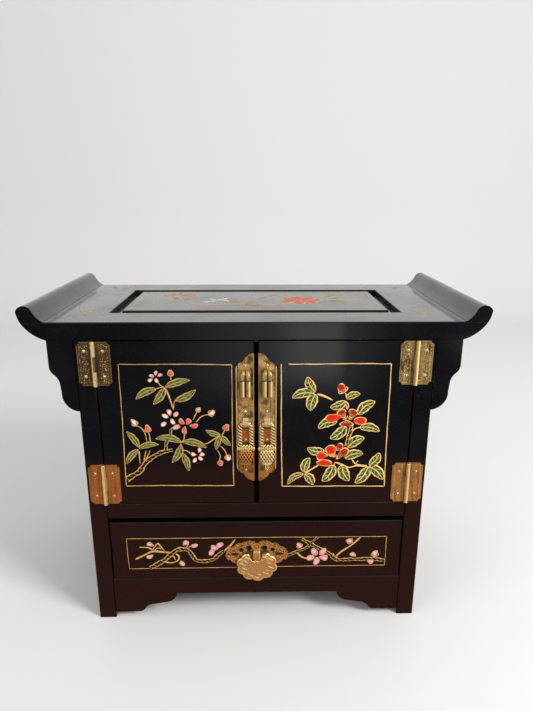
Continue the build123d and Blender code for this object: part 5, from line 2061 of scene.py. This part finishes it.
@dataclass
class Cabinet:
    """The cabinet: it dresses every CAD node and adds the paintings and linings.

    Attributes:
        nodes: The CAD nodes by name.
        leaf_middle: Distance of a hinge's pin from the middle line, in mm.
        leaf_half: Half width and half height of an opened hinge.
        hinge_heights: Heights of the lower and upper hinges.
        pull: Distance of a door pull from the middle line, and its y and z.
        groove: Half width, half depth and middle y of the groove round the top panel.
        top: Height of the top's border.
        inner: Nodes of the inner boards.
        lacquered: Nodes of the lacquered boards.
    """

    nodes: dict[str, bpy.types.Object]
    leaf_middle: float = 116.1
    leaf_half: Point = (11.8, 16.5)
    hinge_heights: Point = (123.5, 220.3)
    pull: Place = (8.0, -80.2, 173.8)
    groove: Place = (111.0, 49.5, 2.2)
    top: float = 251.0
    inner: tuple[str, ...] = (
        "cupboard_floor", "drawer_back", "drawer_bottom", "drawer_floor", "left_drawer_side", "right_drawer_side",
        "shelf",
    )
    lacquered: tuple[str, ...] = (
        "back_panel", "door_stop", "drawer_front", "front_apron", "left_door", "left_front_spandrel",
        "left_rear_spandrel", "left_scroll", "left_side_board", "middle_rail", "right_door",
        "right_front_spandrel", "right_rear_spandrel", "right_scroll", "right_side_board", "top_frame", "top_panel",
    )

    def _dress(self, finish: bpy.types.Material, *nodes: str) -> None:
        """Put a finish on CAD nodes.

        Args:
            finish: The material.
            *nodes: The nodes' names.
        """
        for node in nodes:
            holder = self.nodes[node]
            if not holder.material_slots:
                holder.data.materials.append(finish)
            for slot in holder.material_slots:
                slot.material = finish
            LOG.info("%s: %s", node, finish.name)

    def dress_boards(self) -> None:
        """Give each lacquered board its own rubbed edges, and the inner boards their wash."""
        for node in self.lacquered:
            lo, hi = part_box(node)
            sunk = (*self.groove, self.top) if node == "top_frame" else None
            self._dress(Lacquer(f"{node}_lacquer", tuple(lo), tuple(hi), sunk=sunk).material(), node)
        wide = InnerBoard("inner_wash_wide").material()
        deep = InnerBoard("inner_wash_deep", (1.0, 0.05, 1.0)).material()
        for node in self.inner:
            self._dress(deep if node.endswith("drawer_side") else wide, node)

    def dress_brass(self) -> None:
        """Give each brass piece its stamp, tone and polish."""
        low, high = self.hinge_heights
        # the lower hinges' higher copper lean is a painted warm reflection of the table
        for hinge, height, copper, shade, streaks, gap in (
            ("left_lower", low, 0.90, 0.02, 0.75, 0.0), ("right_lower", low, 0.55, 0.08, 0.55, 0.0),
            ("left_upper", high, 0.12, 0.85, 0.0, 0.8), ("right_upper", high, 0.08, 0.38, 0.2, 0.0),
        ):
            leaf = Brass(
                f"{hinge}_leaf_brass", Stamp.LEAF, (self.leaf_middle, height), self.leaf_half, copper,
                knuckle=1.7, shade=shade, streaks=streaks, dark_middle=gap,
            )
            self._dress(leaf.material(), f"{hinge}_case_leaf", f"{hinge}_door_leaf")
            self._dress(Brass(f"{hinge}_pin_brass", copper=copper * 0.4, polish=1.0).material(), f"{hinge}_pin")
        plate = Brass("door_plate_brass", Stamp.HATCHED, (8.25, 177.0), (6.65, 51.0), 0.26, 0.45, shade=0.06)
        nail = Brass("nail_brass", polish=0.9, yellow=(0.82, 0.62, 0.30))
        strap = Brass("strap_brass", copper=0.1, polish=0.7, yellow=(0.95, 0.76, 0.42))
        cloud = Brass("cloud_plate_brass", Stamp.PUNCHED, (0.0, 67.0), (3.2, 3.2), 0.58, 0.45, shade=0.18)
        for brass, nodes in (
            (plate, ("left_door_plate", "right_door_plate")), (strap, ("left_pull_staple", "right_pull_staple")),
            (nail, ("left_case_nails", "left_door_nails", "right_case_nails", "right_door_nails")),
            (cloud, ("drawer_plate", "drawer_nails")),
        ):
            self._dress(brass.material(), *nodes)

    def hang_brass(self) -> None:
        """Make the chased pulls, the lock staples and the strap in place of their CAD nodes."""
        out, front, height = self.pull
        lock = Brass("lock_staple_brass", Stamp.CARVED, polish=0.9).material()
        for side, hand, dull in (("left", -1, 154.0), ("right", 1, 0.0)):
            brass = Brass(f"{side}_pull_brass", Stamp.CARVED, polish=0.75, copper_below=dull)
            DoorPull(side, (hand * out, front, height)).build(brass.material())
            LockStaple(side, hand * out).build(lock)
        DrawerPull().build(Brass("drawer_pull_brass", Stamp.CARVED, copper=0.12, polish=0.85).material())
        Strap().build(Brass("drawer_strap_brass", Stamp.CARVED, copper=0.25, polish=0.8).material())

    def paint(self) -> None:
        """Paint the doors, the drawer, the top panel and its border."""
        fronts = {"left_door": left_door_painting, "right_door": right_door_painting, "drawer_front": drawer_painting}
        painted = []
        for node, draw in fronts.items():
            lo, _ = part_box(node)
            painted += draw(Face((0.0, lo.y / MM, 0.0)))
        _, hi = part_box("top_panel")
        for draw, height in ((top_painting, hi.z / MM), (border_painting, self.top)):
            painted += draw(Face((0.0, 0.0, height), up=(0, 1, 0), out=(0, 0, 1)))
        for painting in painted:
            painting.build()

    def line(self) -> None:
        """Lay the four velvet linings."""
        velvet = Velvet("lining_velvet").material()
        for lining in (
            Lining("back_lining", "case", "back_panel", upright=True, held="stretched"),
            Lining("floor_lining", "case", "cupboard_floor"),
            Lining("shelf_lining", "case", "shelf"),
            Lining("drawer_lining", "drawer", "drawer_bottom"),
        ):
            lining.build(velvet)


# ---------------------------------------------------------------- studio


@dataclass(frozen=True)
class SweepPaint:
    """Pale paint; polished pieces see a painted reflection of a warm table and a dim room with a window in its place,
    glowing for them.

    Attributes:
        gap: Distance from the camera to the doors' fronts, in metres.
        behind: y of the camera's mirror image behind the doors.
        eye: Height of the camera.
        pale: Colour of the paint.
        high: Colour of the sweep above the floor, as polished pieces see it.
        dusk: Colour of the painted dim room.
        haze: Colour of the painted haze round the window.
        window: Colour of the painted window, which glows for polished pieces.
        table: Colour of the painted reflection of the table.
        glow: Colour of the painted lit corner on the right.
        gloom: Colour of the painted dark corner on the left.
    """

    gap: float = 0.3843
    behind: float = 0.3064
    eye: float = 0.3405
    pale: Colour = (0.80, 0.79, 0.775)
    high: Colour = (0.72, 0.72, 0.71)
    dusk: Colour = (0.06, 0.061, 0.082)
    haze: Colour = (0.38, 0.37, 0.42)
    window: Colour = (1.0, 1.0, 1.0)
    table: Colour = (0.29, 0.113, 0.083)
    glow: Colour = (1.0, 0.84, 0.60)
    gloom: Colour = (0.07, 0.055, 0.04)

    def _painted_reflections(self, bench: Bench) -> Tone:
        """Colour the painted reflections that polished pieces see.

        The line from a point of the floor to the eye's mirror image behind the doors crosses
        the doors' fronts at "across" and "up", where the window and its haze are laid out.

        Args:
            bench: The material's node tree.

        Returns:
            The colour.
        """
        x, y, z = bench.axes(bench.place())
        share = self.gap / (self.behind - y)
        across, up = x * share, self.eye * (1 - share)
        haze = across.steps(-0.09, 0.01) * across.steps(0.105, 0.055) * up.steps(0.178, 0.214)
        window = across.steps(0.004, 0.040) * across.steps(0.068, 0.056) * up.steps(0.198, 0.220)
        beyond = bench.blend(window, bench.blend(haze, self.dusk, self.haze), self.window)
        seen = bench.blend(y.steps(-0.306, -0.388), self.table, beyond)
        for mask, colour in (
            (x.steps(0.40, 0.58) * y.steps(-1.05, -0.90), self.glow),
            (x.steps(-0.42, -0.60), self.gloom),
            (z.steps(0.0, 0.12), self.high),
        ):
            seen = bench.blend(mask, seen, colour)
        return seen

    def material(self) -> bpy.types.Material:
        """Make the material.

        Returns:
            The Blender material.
        """
        material, bench = Bench.of_material("sweep_paint")
        straight, polished = bench.rays()
        plain = bench.tone("ShaderNodeBsdfDiffuse", None, {"Color": (*self.pale, 1.0)})
        # painted reflections: the sweep glows with them for glossy rays only
        mirror = bench.tone("ShaderNodeEmission", None, {"Color": self._painted_reflections(bench), "Strength": 1.0})
        mixed = bench.tone("ShaderNodeMixShader", None, {0: polished * (1 - straight), 1: plain, 2: mirror})
        bench.node("ShaderNodeOutputMaterial", None, {"Surface": mixed})
        return material


@dataclass(frozen=True)
class Lamp:
    """A square lamp that faces the cabinet.

    Attributes:
        name: Its name.
        place: Its place, in metres.
        side: Length of its sides, in metres.
        power: Its power, in watts.
        colour: Its colour.
        aim: The place that it faces.
    """

    name: str
    place: Place
    side: float
    power: float
    colour: Colour
    aim: Place = (0, 0, 0.12)

    def hang(self) -> None:
        """Hang the lamp."""
        lamp = bpy.data.lights.new(self.name, "AREA")
        lamp.shape = "SQUARE"
        lamp.size = self.side
        lamp.energy = self.power
        lamp.color = self.colour
        holder = bpy.data.objects.new(self.name, lamp)
        way = Vector(self.aim) - Vector(self.place)
        holder.location = self.place
        holder.rotation_euler = way.to_track_quat("-Z", "Y").to_euler()
        bpy.context.scene.collection.objects.link(holder)
        LOG.info("%s: %g W", self.name, self.power)


@dataclass
class Studio:
    """A pale sweep of floor and wall, soft lamps and the camera at the photograph's place.

    Attributes:
        focal_px: Focal length in pixels of the picture.
        pitch: Camera's tilt down, in degrees.
        yaw: Camera's turn to the right.
        roll: Camera's roll.
        eye: Camera's place, in mm.
        wall: Distance of the wall behind the cabinet's middle, in mm.
        bend: Radius of the sweep's bend.
        reach: How far the floor comes forward and to both sides.
        height: Height of the wall.
        picture: Width and height of the picture, in pixels.
        lamps: The lamps.
    """

    focal_px: float = 557.81
    pitch: float = 16.5804
    yaw: float = 1.1745
    roll: float = 0.130
    eye: Place = (-0.4585, -462.110, 340.546)
    wall: float = 1250.0
    bend: float = 300.0
    reach: float = 3200.0
    height: float = 2600.0
    picture: tuple[int, int] = (533, 711)
    lamps: tuple[Lamp, ...] = (
        Lamp("window_lamp", (1.15, -0.85, 1.0), 0.5, 24.0, (1.0, 0.98, 0.95)),
        Lamp("fill_lamp", (-1.3, -0.9, 0.8), 1.0, 7.0, (0.97, 0.985, 1.0)),
        Lamp("top_lamp", (0.1, 0.2, 1.9), 2.2, 6.0, (1.0, 1.0, 1.0)),
    )

    def sweep(self) -> None:
        """Make the sweep.

        Its profile is the floor's straight line, a quarter circle of the bend's radius and the
        wall's straight line, carried sideways in even steps.
        """
        turn = np.linspace(0, math.pi / 2, 24)
        foot = self.wall - self.bend
        floor = np.stack([np.linspace(-self.reach, foot, 30), np.zeros(30)], 1)
        bend = np.stack([foot + self.bend * np.sin(turn), self.bend * (1 - np.cos(turn))], 1)
        wall = np.stack([np.full(12, self.wall), np.linspace(self.bend, self.height, 12)], 1)
        profile = np.vstack([floor, bend[1:], wall[1:]])
        points = np.empty((len(profile), 40, 3))
        points[..., 0] = np.linspace(-self.reach, self.reach, 40)
        points[..., 1:] = profile[:, None]
        order = np.arange(len(profile) * 40).reshape(-1, 40)
        quads = np.stack([order[:-1, :-1], order[:-1, 1:], order[1:, 1:], order[1:, :-1]], -1).reshape(-1, 4)
        mesh = bpy.data.meshes.new("studio_sweep")
        mesh.from_pydata((points.reshape(-1, 3) * MM).tolist(), [], quads.tolist())
        mesh.polygons.foreach_set("use_smooth", np.full(len(mesh.polygons), True))
        mesh.materials.append(SweepPaint().material())
        piece = bpy.data.objects.new("studio_sweep", mesh)
        bpy.context.scene.collection.objects.link(piece)
        LOG.info("studio_sweep: %d points", len(mesh.vertices))

    def light(self) -> None:
        """Light the sweep with the world and the large soft lamps."""
        world = bpy.data.worlds.new("studio_world")
        bpy.context.scene.world = world
        world.use_nodes = True
        bench = Bench(world.node_tree)
        straight, polished = bench.rays()
        unseen = bench.blend(polished, (0.46, 0.47, 0.49), (0.36, 0.36, 0.37))
        around = bench.blend(straight, unseen, (0.80, 0.80, 0.79))
        back = bench.tone("ShaderNodeBackground", None, {"Color": around, "Strength": 1.0})
        bench.node("ShaderNodeOutputWorld", None, {"Surface": back})
        for lamp in self.lamps:
            lamp.hang()

    def camera(self) -> None:
        """Set up the camera: its axes are the yawed, pitched and rolled right, up and back vectors."""
        pitch, yaw, roll = (math.radians(a) for a in (self.pitch, self.yaw, self.roll))
        ahead = Vector((math.sin(yaw) * math.cos(pitch), math.cos(yaw) * math.cos(pitch), -math.sin(pitch)))
        level = Vector((math.cos(yaw), -math.sin(yaw), 0.0))
        up = level.cross(ahead)
        right = level * math.cos(roll) + up * math.sin(roll)
        top = up * math.cos(roll) - level * math.sin(roll)
        lens = bpy.data.cameras.new("camera")
        lens.sensor_width = 36.0
        lens.lens = self.focal_px * lens.sensor_width / self.picture[1]
        lens.clip_start = 0.01
        holder = bpy.data.objects.new("camera", lens)
        turn = Matrix((right, top, -ahead)).transposed().to_4x4()
        holder.matrix_world = Matrix.Translation(Vector(self.eye) * MM) @ turn
        bpy.context.scene.collection.objects.link(holder)
        bpy.context.scene.camera = holder
        bpy.context.scene.view_settings.view_transform = "Standard"


def main() -> None:
    """Load the frame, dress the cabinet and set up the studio."""
    logging.basicConfig(level=logging.INFO, format="%(name)s %(message)s")
    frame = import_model()
    cabinet = Cabinet(frame["nodes"])
    cabinet.dress_boards()
    cabinet.dress_brass()
    cabinet.hang_brass()
    cabinet.paint()
    cabinet.line()
    studio = Studio()
    studio.sweep()
    studio.light()
    studio.camera()


if __name__ == "__main__":
    main()
